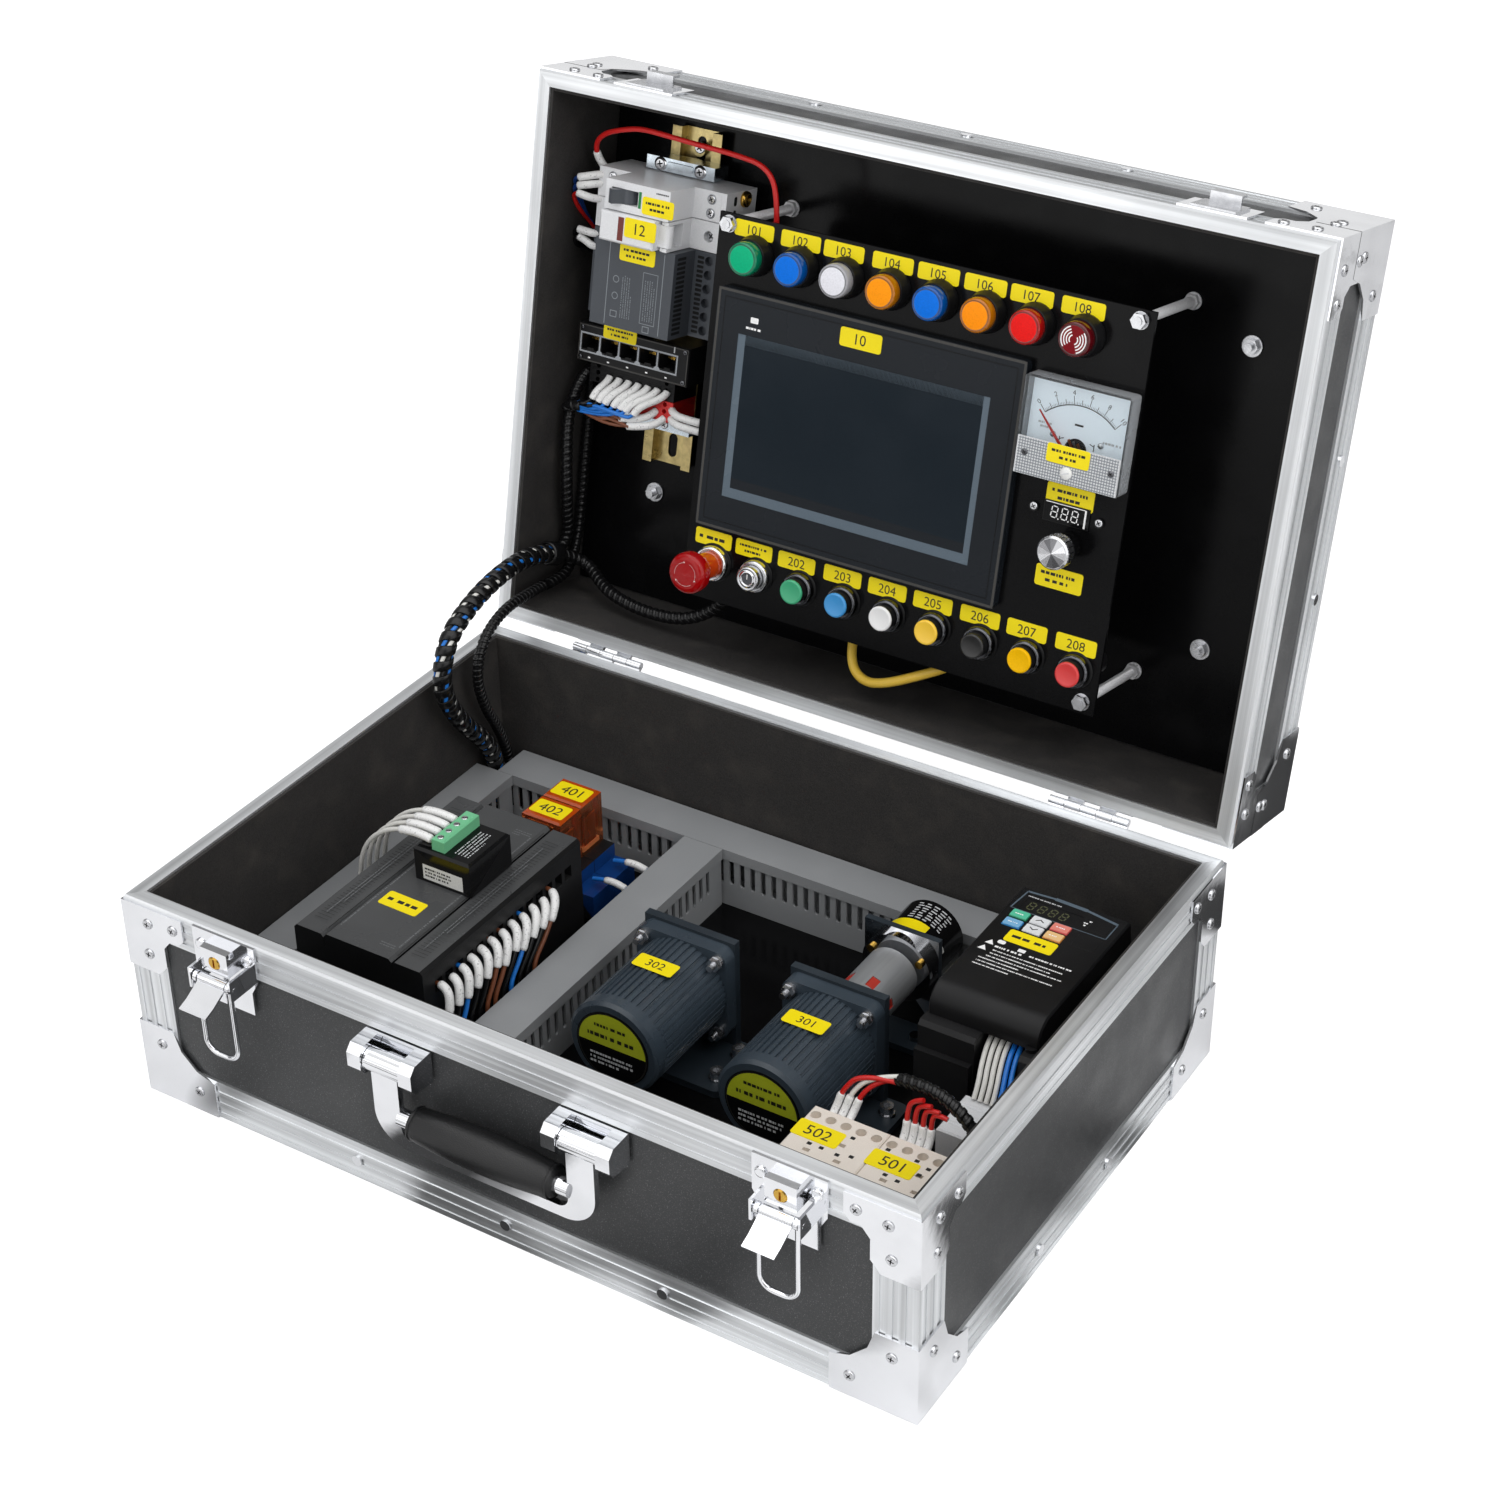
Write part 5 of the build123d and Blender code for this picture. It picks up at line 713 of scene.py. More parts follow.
    def tube(self, line, radius, material, sides=10, start=0.0, end=None, widths=None):
        """A round tube along points in metres, between two distances along it in millimetres."""
        along = distances(line)
        end = along[-1] if end is None else end
        marks = [start] + [a for a in along if start + 0.4 < a < end - 0.4] + [end]
        path = at_marks(line, along, marks)
        points, faces = [], []
        for mark, here, up, across in zip(marks, path, *frames(path)):
            reach = (widths(mark - start, end - start) if widths else radius) * MM
            for i in range(sides):
                c, s = on_circle(1.0, 360 * i / sides)
                points.append(here + reach * (c * up + s * across))
        for k in range(len(path) - 1):
            for i in range(sides):
                j = (i + 1) % sides
                faces.append([k * sides + i, (k + 1) * sides + i, (k + 1) * sides + j, k * sides + j])
        last = (len(path) - 1) * sides
        faces += [list(range(sides)), [last + i for i in range(sides - 1, -1, -1)]]
        self.add(points, faces, material, True)

    def band(self, line, radius, pitch, width, material):
        """A band wound closely round a cord as a true helix."""
        path, along = resampled(line, 0.5)
        ups, across = frames(path)
        count = max(1, int(along[-1] / pitch)) * 16
        crown = ((0.7, -1), (0.1, -0.8), (0, 0), (0.1, 0.8), (0.7, 1))
        points, faces = [], []
        for k in range(count + 1):
            at = along[-1] * k / count
            here = at_marks(path, along, [at])[0]
            j = min(len(path) - 1, int(np.searchsorted(along, at)))
            run = np.cross(ups[j], across[j])
            c, s = on_circle(1.0, 360 * k / 16)
            out = c * ups[j] + s * across[j]
            points += [here + MM * ((radius - drop) * out + run * shift * width / 2) for drop, shift in crown]
        for k in range(0, 5 * count, 5):
            faces += [[k + i, k + i + 1, k + 6 + i, k + 5 + i] for i in range(4)]
            faces.append([k + 4, k, k + 5, k + 9])
        self.add(points, faces, material, True)

    def make(self, name, body=None):
        mesh = bpy.data.meshes.new(name)
        mesh.from_pydata([tuple(p) for p in np.concatenate(self.points)], [], self.faces)
        for material in self.materials:
            mesh.materials.append(material)
        mesh.polygons.foreach_set("material_index", self.slots)
        mesh.polygons.foreach_set("use_smooth", self.smooth)
        mesh.validate()
        mesh.update()
        piece = bpy.data.objects.new(name, mesh)
        scene.collection.objects.link(piece)
        if body:
            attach(piece, body)
        return piece


# Base wiring


def ferrule(name, line, start, end, body, radius=2.2):
    """A printed white sleeve on a wire, a little narrower at its ends."""

    def swell(at, length):
        return radius * (0.86 if at < 0.5 or at > length - 0.5 else 1.0)

    build = Build()
    build.tube(line, radius, sleeve_white, sides=14, start=start, end=end, widths=swell)
    return build.make(name, body)


def base_wire(name, points, material, sleeve=None):
    """A thin wire in the base; its sleeve is a start, an end and perhaps a radius."""

    def dress(line):
        start, end, *radius = sleeve
        return [ferrule(name.replace("wire", "ferrule"), line, start, end, "case", *radius)]

    free_cord(name, base_points(points), 1.4, "case", material, "base_wiring",
              dress if sleeve else None)


fan_lengths = (65, 65, 66, 67, 68, 69, 70, 71, 72, 73, 75, 76)
fan_colours = (wire_brown, wrap_black, wire_blue, wrap_black, wrap_black, wire_brown)
for index, length in enumerate(fan_lengths):
    y, target = -92.75 + index * 9.5, DUCT_SLOTS[6 + index]
    first = 4.5 + chance.uniform(0, 3)
    base_wire(f"controller_wire_{index}",
              [(-101.7, y, 84), (-90, y, 86.5), (-86.5, (y + target) / 2, 70), (-87.5, target, 54),
               (-84.5, target, 45), (-72.5, target, 43)],
              fan_colours[index % 6], (first, first + 18 + chance.uniform(0, 4), 2.6))
for index, y in enumerate(ADAPTER_ROWS):
    base_wire(f"adapter_wire_{index}",
              [(-143.4, y, 127), (-157, y, 129.5), (-180, y + 1, 122), (-198, y + 2, 104),
               (-204, y + 2.5, 80), (-204, y + 3, 58), (-209, y + 3, 46), (-221, y + 3, 44)],
              wire_white, (1.5, 25, 2.5))
for index, y in enumerate(RELAYS):
    target = min(DUCT_SLOTS, key=lambda slot: abs(slot - y + 3))
    base_wire(f"relay_wire_{index}", [(-113, y, 46), (-101, y, 49.5), (-89, target, 47), (-73, target, 43)],
              wire_blue, (9, 24))


def bundle_wrap(line):
    build = Build()
    build.band(line, 3.75, 4.6, 3.2, wrap_black)
    return [build.make("contactor_bundle_wrap", "case")]


bundle = base_points([(176, -60, 110), (190, -62, 113.5), (206, -64, 112.5), (222, -67, 104), (231, -70, 88),
                      (233, -72, 66), (232.5, -71, 42), (232.5, -70, 16.4)])
free_cord("contactor_bundle", bundle, 3.2, "case", wrap_black, "base_wiring", bundle_wrap)
for index, (x, length) in enumerate(((145.5, 51), (150.5, 47), (155.5, 42))):
    base_wire(f"left_contactor_wire_{index}",
              [(x, -78.05, 84), (x, -72, 87), (x + 2, -69 + index, 98),
               (x + 11, -65 + index * 1.5, 109 - index),
               (175.6, -61.6 + index * 1.6, 108.6 + (2.8 if index == 1 else 0))],
              (wire_red, wire_white, wire_red)[index], (1, 15))
for index, (x, length) in enumerate(((187, 34), (191.7, 33), (196.4, 32), (201.1, 31))):
    base_wire(f"right_contactor_wire_{index}",
              [(x, -78.05, 84), (x, -72, 88), (x - 1, -69.5, 100), (x + 1, -68.8, 107.5 - index * 0.8),
               (x + 8, -69.0, 110.5 - index * 2.2)],
              wire_red, (1, 14))
for index in range(6):
    x = 189.8 + index * 3.6
    base_wire(f"inverter_wire_{index}",
              [(x, 17.5, 95), (x + 1, 8, 94), (x + 3, -2, 87), (x + 6, -11, 80.5), (x + 6.5, -16.5, 74.6)],
              wire_white if index < 4 else wire_blue)


# Leads at the lid's terminals and at the breaker, which go with the branches


def lead(build, points, radius, material):
    """A short lead or sleeve along a smooth line through the lid's points."""
    path = smooth_line(lid_points(points))
    build.tube(path, radius, material, sides=12)
    return path


terminal_wires = Build()
stub = lead(terminal_wires, [(-231.5, 37, 32), (-230, 34.5, 31), (-226, 33.5, 30), (-220, 33, 30)], 3.2,
            wrap_black)
terminal_wires.band(stub, 3.7, 4.4, 3.0, wrap_black)
for index in range(7):
    top = -207 + 7.0 * index
    foot = top - 3.5 - 2.0 * index + chance.uniform(-1, 1)
    low, near = 26 + 0.5 * index, 29 - chance.uniform(0, 1.5)
    lead(terminal_wires, [(top, 13, 40), (top, 16, 38), (foot + 1.5, low - 5, near + 1), (foot, low, near)],
         2.35, sleeve_white)
    spread = 1.7 * (index % 5) - 3.0
    lead(terminal_wires, [(foot + 0.4, low - 2, near + 0.4), (foot - 1.5, low + 2.5, near - 0.8),
                          (foot - 8, 31.5 + spread * 0.5, 27 + spread * 0.3),
                          (-212, 32 + spread, 28 + spread * 0.4), (-222, 33 + spread * 0.8, 30)],
         1.1, wire_blue if index > 1 else wrap_black)
for x, y in ((-172, 26.5), (-166, 30)):
    lead(terminal_wires, [(x, y, 41), (x - 2, y + 4, 36), (x - 12, y + 6.5, 31), (x - 19, y + 7.5, 30)],
         2.4, sleeve_white)
    for strand in (-1.5, 1.5):
        lead(terminal_wires, [(x - 17, y + 7.3, 30 + strand), (x - 26, y + 7.5 + strand, 29),
                              (-208, 37 + strand, 29.5), (-218, 35 + strand, 31)], 1.05, wire_brown)
for y, material in ((24, wire_navy), (29.5, wire_brown)):
    lead(terminal_wires, [(-161, y, 41), (-156, y + 0.5, 35.5), (-146, y + 1, 34), (-137, y + 1.5, 36)],
         2.4, sleeve_white)
    lead(terminal_wires, [(-139, y + 1.3, 35.5), (-131, y + 2, 38), (-124, y + 3, 46), (-121, y + 4, 60)],
         1.3, material)
breaker_wires = Build()
for y, foot, depth, material in ((-110, -106.5, 27, wire_navy), (-104.5, -101.5, 27, wire_navy),
                                 (-95, -97, 27, wire_red), (-74, -74.5, 31, wrap_black),
                                 (-66, -70, 32, wrap_black)):
    lead(breaker_wires, [(-217, y, 37), (-222, y + 0.4, 32), (-227, (y + foot) / 2, depth),
                         (-233, foot, depth)], 2.35, sleeve_white)
    turn_y, end_y = (-78, -68) if foot < -80 else (-62, -54)
    lead(breaker_wires, [(-231, foot, depth), (-237, foot + 0.5, depth + 0.5), (-238, foot + 8, depth + 6),
                         (-237.5, turn_y, 46), (-235, end_y, 58)], 1.35, material)
lead_pieces = {"branch_to_terminals": terminal_wires.make("terminal_ferrules", "lid"),
               "branch_to_breaker": breaker_wires.make("breaker_ferrules", "lid")}


# Lid wiring

lid_routes = {
    "branch_to_stop": ([(-225.5, 131.2, 30.5), (-223, 134, 41), (-213, 139, 46), (-200, 144, 38),
                        (-185, 147, 30), (-161, 150, 27), (-136, 149, 27), (-119, 143, 29),
                        (-106, 132, 30), (-99, 120, 26), (-98, 105.8, 23)], 3.4, 168, wrap_black),
    "branch_to_terminals": ([(-232, 131.2, 30.5), (-232.8, 131.5, 41), (-232, 122, 46), (-230, 106, 40),
                             (-228, 88, 34), (-229, 66, 32), (-231, 44, 33), (-230, 25, 38),
                             (-227, 14, 45), (-224.8, 12.8, 49)], 3.2, 137, wrap_black),
    "branch_to_breaker": ([(-229.1, 149.9, 22), (-229.6, 149.5, 38), (-231.5, 145, 51), (-233.5, 130, 59),
                           (-234, 106, 61), (-233.5, 80, 60), (-234, 54, 61), (-233.5, 28, 60),
                           (-234, 2, 61), (-233.5, -24, 60), (-234, -50, 61), (-233, -76, 59),
                           (-229, -94, 54), (-225.2, -102, 49)], 3.0, 281, wrap_black),
    "supply_wire": ([(-223.9, -111, 42), (-228.5, -117, 39), (-228, -127, 34), (-219, -135, 29),
                     (-205, -140, 25), (-189, -144, 22), (-168, -143.5, 20), (-147, -142, 21),
                     (-123, -141.5, 20), (-101, -139, 20), (-92, -125, 21), (-91, -102.7, 22)],
                    1.6, 190, wire_red),
    "patch_cable": ([(-9, 76.4, 34.5), (-9, 92, 34.8), (-11, 110, 32), (-11, 127, 25), (-5.5, 141, 18),
                     (7, 146, 14), (22, 141.4, 12), (41.5, 131.4, 14), (59, 122, 20), (66, 106, 28),
                     (67, 91, 34), (67, 76.4, 34.5)], 2.9, 189, mustard),
}


def dress_branch(name, radius, line):
    build = Build()
    build.band(line, radius + 0.55, 4.4, 3.0, wrap_black)
    wrap = build.make(f"{name}_wrap", "lid")
    return [wrap, lead_pieces[name]] if name in lead_pieces else [wrap]


def dress_patch_cable():
    """Its two clear plugs, and the boots behind them."""
    build = Build(LID)
    for x in (-9, 67):
        plug = build.moved(x, -71, -34.5)
        plug.plate(0, 0, -4.5, 4.5, 11, 9.8, clear_cover, 1.2, 0.5)
        plug.plate(0, -3.2, 4.5, 5.3, 4.2, 7.5, clear_cover, 0.6, 0.2)
        boot = smooth_line(lid_points([(x, 74.5, 34.5), (x, 78, 34.5), (x, 82, 34.5)]))
        build.tube(boot, 3.9, mustard, widths=lambda at, length: 4.3 - 1.0 * at / length)
    return [build.make("patch_plugs", "lid")]


def dress_lid_cord(name, radius, line):
    if name == "supply_wire":
        return [ferrule("supply_ferrule", line, 0.5, 13, "lid", 2.4)]
    return dress_patch_cable() if name == "patch_cable" else dress_branch(name, radius, line)


for name, (route, radius, length, material) in lid_routes.items():
    free_cord(name, lid_points(route), radius, "lid", material, "lid_wiring",
              lambda line, name=name, radius=radius: dress_lid_cord(name, radius, line))


# Hinge looms, which bend across the lid hinge

hinge_routes = {
    "thick_loom": ([(-229.5, 139.5, 22), (-229.5, 139.5, 50), (-227, 128, 78), (-225, 100, 108),
                    (-224, 82, 142), (-224, 92, 172), (-225, 122, 184), (-226, 155, 188),
                    (-226, 186, 185), (-228, 208, 174)], 6.0, 286),
    "thin_loom": ([(-230, 152.5, 22), (-230, 152.5, 52), (-229, 143, 78), (-228, 128, 104),
                   (-227, 121, 130), (-227, 130, 151), (-228, 153, 160), (-229, 180, 158),
                   (-230, 199, 155)], 3.5, 206),
}
for name, (route, radius, length) in hinge_routes.items():
    line = smooth_line(base_points(route))
    build = Build()
    if name == "thick_loom":
        build.tube(line, radius - 1.6, dark_hole, sides=16)
        strands = (wire_white, wrap_black, wire_blue, wrap_black, wire_white, wrap_black, wire_blue)
        path, along = resampled(line, 2.0)
        ups, across = frames(path)
        for i, material in enumerate(strands):
            angles = np.array([2 * math.pi * (i / len(strands) + a / 110) for a in along])[:, None]
            offset = (radius - 2.1) * MM * (np.cos(angles) * ups + np.sin(angles) * across)
            build.tube(path + offset, 1.35, material, sides=8)
        build.band(line, radius, 8.6, 6.6, wrap_black)
    else:
        build.tube(line, radius - 0.5, wrap_black, sides=16)
        build.band(line, radius, 3.6, 2.2, wrap_black)
    piece = build.make(name)
    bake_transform(piece)
    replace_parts(piece, "hinge_harness")
    declare()


# Sleeve where the thick loom splits in the lid

before_end, loom_end = (np.array(point, float) for point in hinge_routes["thick_loom"][0][-2:])
loom_run = (loom_end - before_end) / np.linalg.norm(loom_end - before_end)
across_run = np.cross(loom_run, X)
sleeve = Build(Place(loom_end - loom_run * 9, X, across_run / np.linalg.norm(across_run)))
sleeve.lathe(0, 0, [(6.3, 0), (7.2, 0.2), (7.6, 1.5), (7.5, 6), (7.6, 10.5), (7.2, 11.8), (0, 12)],
             wrap_black)
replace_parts(sleeve.make("loom_sleeve", "lid"), "lid_wiring")


# Handle grip, crowned, with a round and a ring at each end

grip = Build(Place((0, -182.5, 72.5), Y, Z))
half = 45.5
profile = [(0, -half)]
for step in range(41):
    at = -half + 2 * half * step / 40
    end_round = min(1.0, (half - abs(at)) / 3.0)
    crown = 9.2 + 2.5 * math.cos(at / half * math.pi / 2)
    profile.append((crown * (0.86 + 0.14 * math.sqrt(max(0.0, 1 - (1 - end_round) ** 2))), at))
profile.append((0, half))
grip.lathe(0, 0, profile, grip_black, sides=48)
for at in (-half + 1.6, half - 1.6):
    grip.lathe(0, 0, [(9.5, at - 0.9), (9.9, at), (9.5, at + 0.9)], grip_black, sides=48)
grip_piece = grip.make("grip", "handle")
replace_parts(grip_piece, "handle_grip")


# Labels and prints on the lid's panel and on the screen

lid_prints = Build(LID)
for index, u in enumerate((-94.3, -63.3, -35, -3.4, 25.7, 55, 83.6, 114.6)):
    lid_prints.label(u, 105.2, PANEL, 26, 9.4, f"{101 + index}")
for index, u in enumerate((-100, -71.8, -42.3, -11, 19, 49, 79.6, 109.5, 140.3)):
    lid_prints.label(u, -81.6, PANEL, 25.2, 9.8, None if index < 2 else f"{200 + index}", rows=1 + index)
for spot in ((-14.5, 59.6, SCREEN, 27, 11, "10"), (123.5, 0.8, PANEL, 29, 12.5), (124, -47, PANEL, 29, 12.5),
             (124.3, 27, 10.2, 26, 10.6), (-162.3, 104, -6, 22, 10.4), (-196, 17.6, -29.95, 24, 9.0),
             (-176, 73, -10, 25, 10.2)):
    lid_prints.label(*spot)
lid_prints.plate(-84.5, 55.5, SCREEN, 3.15, 5.2, 3.4, white_ink, 0.5, 0.05)
lid_prints.words(-84.5, 50.5, SCREEN + 0.05, 11, 2.6, white_ink)
# A lighter band round the bezel's outer edge: painted highlight on its rounded edge.
lid_prints.outline(-110.1, -72.6, 89.1, 70.6, SCREEN + 0.03, 1.5, painted_edge_highlight)
# The dark line inside it is painted shade along the bezel's step.
lid_prints.outline(-105.6, -68.2, 84.6, 66.2, SCREEN + 0.03, 0.7, bezel_step_shade)
lid_prints.bar(-11.75, 3, GLASS, 155.5, 86, display_glass)
for u, v, width, height in ((-12.25, -49, 164.5, 6), (-12.25, 43, 164.5, 6), (-92, -3, 5, 86),
                            (68, -3, 4, 86)):
    lid_prints.bar(u, v, GLASS, width, height, print_grey)
lid_prints.make("lid_labels", "lid")


# Meter dial

dial = Build(LID)
dial_w, cover_w = 0.66, 10.2
dial.arc(METER_U, METER_V, dial_w, 31.2, 31.75, 48, 132, ink, 40)
for step in range(51):
    angle = 132 - step * 84 / 50
    long, thick = (5.0, 0.34) if step % 10 == 0 else (3.2, 0.34) if step % 5 == 0 else (1.7, 0.2)
    dial.bar(*on_circle(31.5 + long / 2, angle, METER_U, METER_V), dial_w, long, thick, ink, angle)
    if step % 10 == 0:
        dial.text(*on_circle(38.3, angle, METER_U, METER_V), dial_w, 2.7, f"{step // 5}", ink, angle - 90)
dial.bar(METER_U, 42.6, dial_w, 5.2, 1.1, ink)
dial.words(104, 38.5, dial_w, 9, 4.4, pale_ink, 2)
dial.words(145, 36.5, dial_w, 12, 2.4, pale_ink)
for side in (-1, 1):
    dial.bar(METER_U + side * 10.5, 32.2, dial_w, 0.5, 4.2, ink)
    dial.bar(METER_U + side * 9.2, 33.4, dial_w, 0.5, 3.0, ink, 90 - side * 20)
    dial.lathe(METER_U + side * 14.5, 34.6, [(1.7, 0.7), (1.7, 1.5), (1.2, 2.0), (0, 2.0)], steel, 20)
dial.lathe(METER_U, 28.5, [(6.6, 0.7), (6.6, 1.3), (6.0, 1.5), (0, 1.5)], satin_black, 36)
for index, material in enumerate((copper, steel, copper)):
    dial.bar(METER_U - 3 + 2.9 * index, 31.2 - 0.6 * index, 1.6 + 0.1 * index, 1.7, 6.4, material, 32)
dial.lathe(METER_U, METER_V, [(3.0, 0.7), (3.0, 6.2), (2.4, 6.8), (0, 6.9)], copper)
for rib in range(13):
    dial.bar(METER_U, 11.8 + 1.6 * rib, cover_w + 0.05, 60.5, 0.55, grid_line)
for rib in range(38):
    dial.bar(94.5 + 1.6 * rib, 21.4, cover_w + 0.04, 0.5, 20.6, grid_line)
dial.lathe(124.6, 17.4, [(3.5, cover_w), (3.5, 11.0), (2.9, 11.5), (0, 11.6)], white_plastic)
dial.bar(124.6, 17.4, 11.65, 4.6, 0.7, frosted, 20)
for u in (98.3, 150.6):
    dial.screw(u, 23.5, cover_w, 1.9, dark_chrome, 35)
dial.make("meter_dial", "lid")


# Digital display

SEGMENTS = ((0, 3.2, 0), (0, 0, 0), (0, -3.2, 0), (-1.75, 1.6, 90), (1.75, 1.6, 90), (-1.75, -1.6, 90),
            (1.75, -1.6, 90))
digits = Build(LID)
digits.bar(123, -9.3, -1.9, 27.2, 11.2, gloss_black)
for index in range(3):
    figure = digits.moved(115.8 + 6.2 * index, -9.3, -1.85, -6)
    for u, v, angle in SEGMENTS:
        figure.plate(u, v, 0, 0.12, 2.6, 0.62, white_ink, 0.3, 0.04, angle)
    figure.plate(3.1, -3.3, 0, 0.12, 0.8, 0.8, white_ink, 0.3, 0.04)
digits.bar(134.5, -9.3, -1.85, 1.1, 10.6, white_ink)
for side in (-1, 1):
    digits.screw(123 + 20 * side, -9, -1.9, 2.3, steel, 35)
digits.bar(122, -4.2, -1.84, 24, 0.5, white_ink)
digits.make("display_digits", "lid")


# Rivet crosses, and covers where two corner plates lie in one plane

FACE_REACH = (171.2, 171.2, 251.2, 251.2)  # from the middle to the front, back, right and left faces
RIVET_REACH = ((215, 233, 235, 236, 212), (135, 153, 155, 156, 132))
CORNER_COVER = ((0.15, 28.9), (0.15, 46.3), (-22.3, 46.3), (-28.3, 39.3), (-28.3, 38), (-25.3, 28.9))


def corner_details(body, origin, back, up, heights):
    crosses = Build()
    for index, (along, reach) in enumerate(zip((X, -X, back, -back), FACE_REACH)):
        face = crosses.on(Place(origin, along, up))
        corner = 251.2 if index < 2 else 171.2
        for side in (-1, 1):
            for at, height in zip(RIVET_REACH[index // 2], heights):
                for turn in (25, 115):
                    face.bar(side * at, height, reach + 1.13, 3.4, 0.7, dark_hole, turn + at)
            if body == "lid":
                face.draw([(side * (corner + a), d, reach + 0.12) for a, d in CORNER_COVER],
                          [list(range(6))], chrome)
    crosses.make(f"{body}_corner_details", body)


corner_details("case", (0, 0, 0), Y, Z, (124.8, 122.8, 101.8, 38, 14))
corner_details("lid", lid_origin, lid_back, lid_up, (11.2, 13.2, 34.2, 41, 65))


# Switches and lamps: arrows on the stop, sound waves on the buzzer, faces, rings and the knob

stop_u, power_u = button_u(0), button_u(1)
arrows = Build(LID)
for start in (98, 218, 338):
    arrows.arc(stop_u, BUTTON_ROW, 29.76, 6.3, 7.15, start, start + 92, white_ink, 16)
    arrows.draw([(*on_circle(r, a, stop_u, BUTTON_ROW), 29.76)
                 for r, a in ((6.72, start - 7), (8.1, start + 4), (5.4, start + 4))], [[0, 1, 2]], white_ink)
arrows.lathe(stop_u, BUTTON_ROW, [(12.4, 21.4), (12.55, 23.4), (12.5, 26.2), (12.1, 27.5), (11.3, 28.6),
                                  (10.2, 29.3), (8.8, 29.66), (0, 29.73)], stop_red, 48)
arrows.make("stop_arrows", "emergency_stop")
waves = Build(LID)
for reach in (2.2, 3.8, 5.4, 7.0):
    for start in (-70, 110):
        waves.arc(lamp_u(7), LAMP_ROW, 12.12, reach, reach + 0.7, start, start + 110, white_ink, 14)
waves.make("buzzer_waves", "lid")
lamp_faces = Build(LID)
# Each lamp's side and the rim round its face take the darker copies of its colour as painted shade; the face
# keeps the full colour.
for index, (face, rim, side) in enumerate(zip(lens_faces, shaded_lens_rims, shaded_lenses)):
    for profile, material in (([(9.62, 5.7), (9.8, 6.1), (9.72, 10.4), (9.3, 11.6), (8.5, 12.03)], side),
                              ([(8.5, 12.03), (8.1, 12.0), (7.8, 11.9)], rim),
                              ([(7.75, 12.02), (7.4, 12.09), (0, 12.1)], face)):
        lamp_faces.lathe(lamp_u(index), LAMP_ROW, profile, material, 44)
lamp_faces.make("lamp_faces", "lid")
power_ring = Build(LID)
for profile, metal in (([(7.35, 7.3), (7.4, 8.0), (7.0, 8.5), (6.3, 8.6), (5.9, 8.4), (5.6, 8.36)], steel),
                       ([(5.6, 8.36), (5.2, 8.36), (4.8, 8.8), (3.9, 8.9), (3.5, 8.5)], chrome),
                       ([(3.5, 8.5), (2.4, 8.42), (0, 8.5)], dark_chrome)):
    power_ring.lathe(power_u, BUTTON_ROW, profile, metal, 40)
power_ring.bar(power_u, -94.6, 8.56, 0.6, 3.0, white_ink)
power_ring.make("power_ring", "power_button")
for index, name in enumerate(caps):
    edge = Build(LID)
    edge.lathe(button_u(index + 2), BUTTON_ROW, [(7.33, 7.0), (7.38, 7.8), (7.1, 8.35), (6.5, 8.62),
                                                 (5.9, 8.5), (5.6, 8.42), (0, 8.45)],
               own_colour(f"cap_{name}"), 44)
    edge.make(f"cap_face_{name}", f"button_{name}")
rings = Build(LID)
for index, (outer, bore, metal) in enumerate(((10.6, 8.6, chrome), (9.6, 7.7, steel),
                                              *[(9.6, 7.7, dark_chrome)] * 7)):
    rings.lathe(button_u(index), BUTTON_ROW,
                [(outer + 0.1, -2.9), (outer + 0.12, 1.4), (outer - 0.3, 2.2), (outer - 0.8, 2.62),
                 (bore + 0.35, 2.66), (bore, 2.4), (bore, 0.5)], metal, 48)
    rings.lathe(button_u(index), BUTTON_ROW, [(outer + 1.3, -2.95), (outer + 1.3, -2.5), (outer + 0.1, -2.2)],
                satin_black, 48)
rings.make("button_rings", "lid")
knob_face = Build(LID)
# The knob's top: twelve wedges of plated metal, bright and dark in turn, a painted reflection of the radial
# sheen on turned metal.
for step, shade in enumerate((236, 196, 116, 96, 150, 206, 240, 186, 108, 92, 140, 200)):
    metal = plated(f"knob_{step}", (shade, shade, shade + 3), 0.24)
    rim = [(*on_circle(8.5, step * 30 + 15 + side, KNOB_U, KNOB_V), 19.05) for side in (0, 30)]
    knob_face.draw([(KNOB_U, KNOB_V, 19.9)] + rim, [[0, 1, 2]], metal)
knob_face.lathe(KNOB_U, KNOB_V, [(9.65, 10.2), (9.75, 10.6), (9.65, 11.0)], chrome, 48)
for step in range(36):
    rib = knob_face.moved(*on_circle(9.6, step * 10, KNOB_U, KNOB_V), 0, step * 10)
    rib.plate(0, 0, 11.2, 17.4, 0.3, 0.7, chrome if step % 2 else steel, 0.1, 0.05)
knob_face.make("knob_face", "input_knob")


# Devices in the lid: the breaker and fuse holder, the power supply, the network switch and the terminals

devices = Build(LID)
devices.bar(-175.2, 106.2, -5.95, 1.9, 9.8, mark_green)
devices.words(-160, 112.3, -5.95, 9, 1.8, ink)
for u in (-142, -212):
    devices.plate(u, 106.1, -32, -31.7, 13, 16.6, pale_grey, 1.0, 0.1)
    for v in (110.2, 101.9):
        devices.lathe(u, v, [(3.1, -31.7), (3.1, -31.6), (0, -31.6)], strip_line, 24)
        devices.screw(u, v, -31.6, 2.5, steel, 30)
    devices.screw(u, 87.9, -35.4, 2.9, steel, 60)
supply_side = devices.on(LID_SIDE)
for v in (109.6, 101.6):
    supply_side.plate(42, v, -132, -131.9, 3.2, 5.6, dark_hole, 1.4, 0.04)
supply_side.lathe(52, 110, [(4.8, -132), (5.0, -131.2), (4.6, -129.6), (3.0, -128.8), (2.6, -129.6),
                            (0, -129.6)], brass, 16)
for u in (-191, -163):
    devices.lathe(u, 120, [(4.2, -50), (4.2, -49.7), (0, -49.7)], chrome, 24)
    devices.screw(u, 120, -49.7, 3.1, steel, 15)
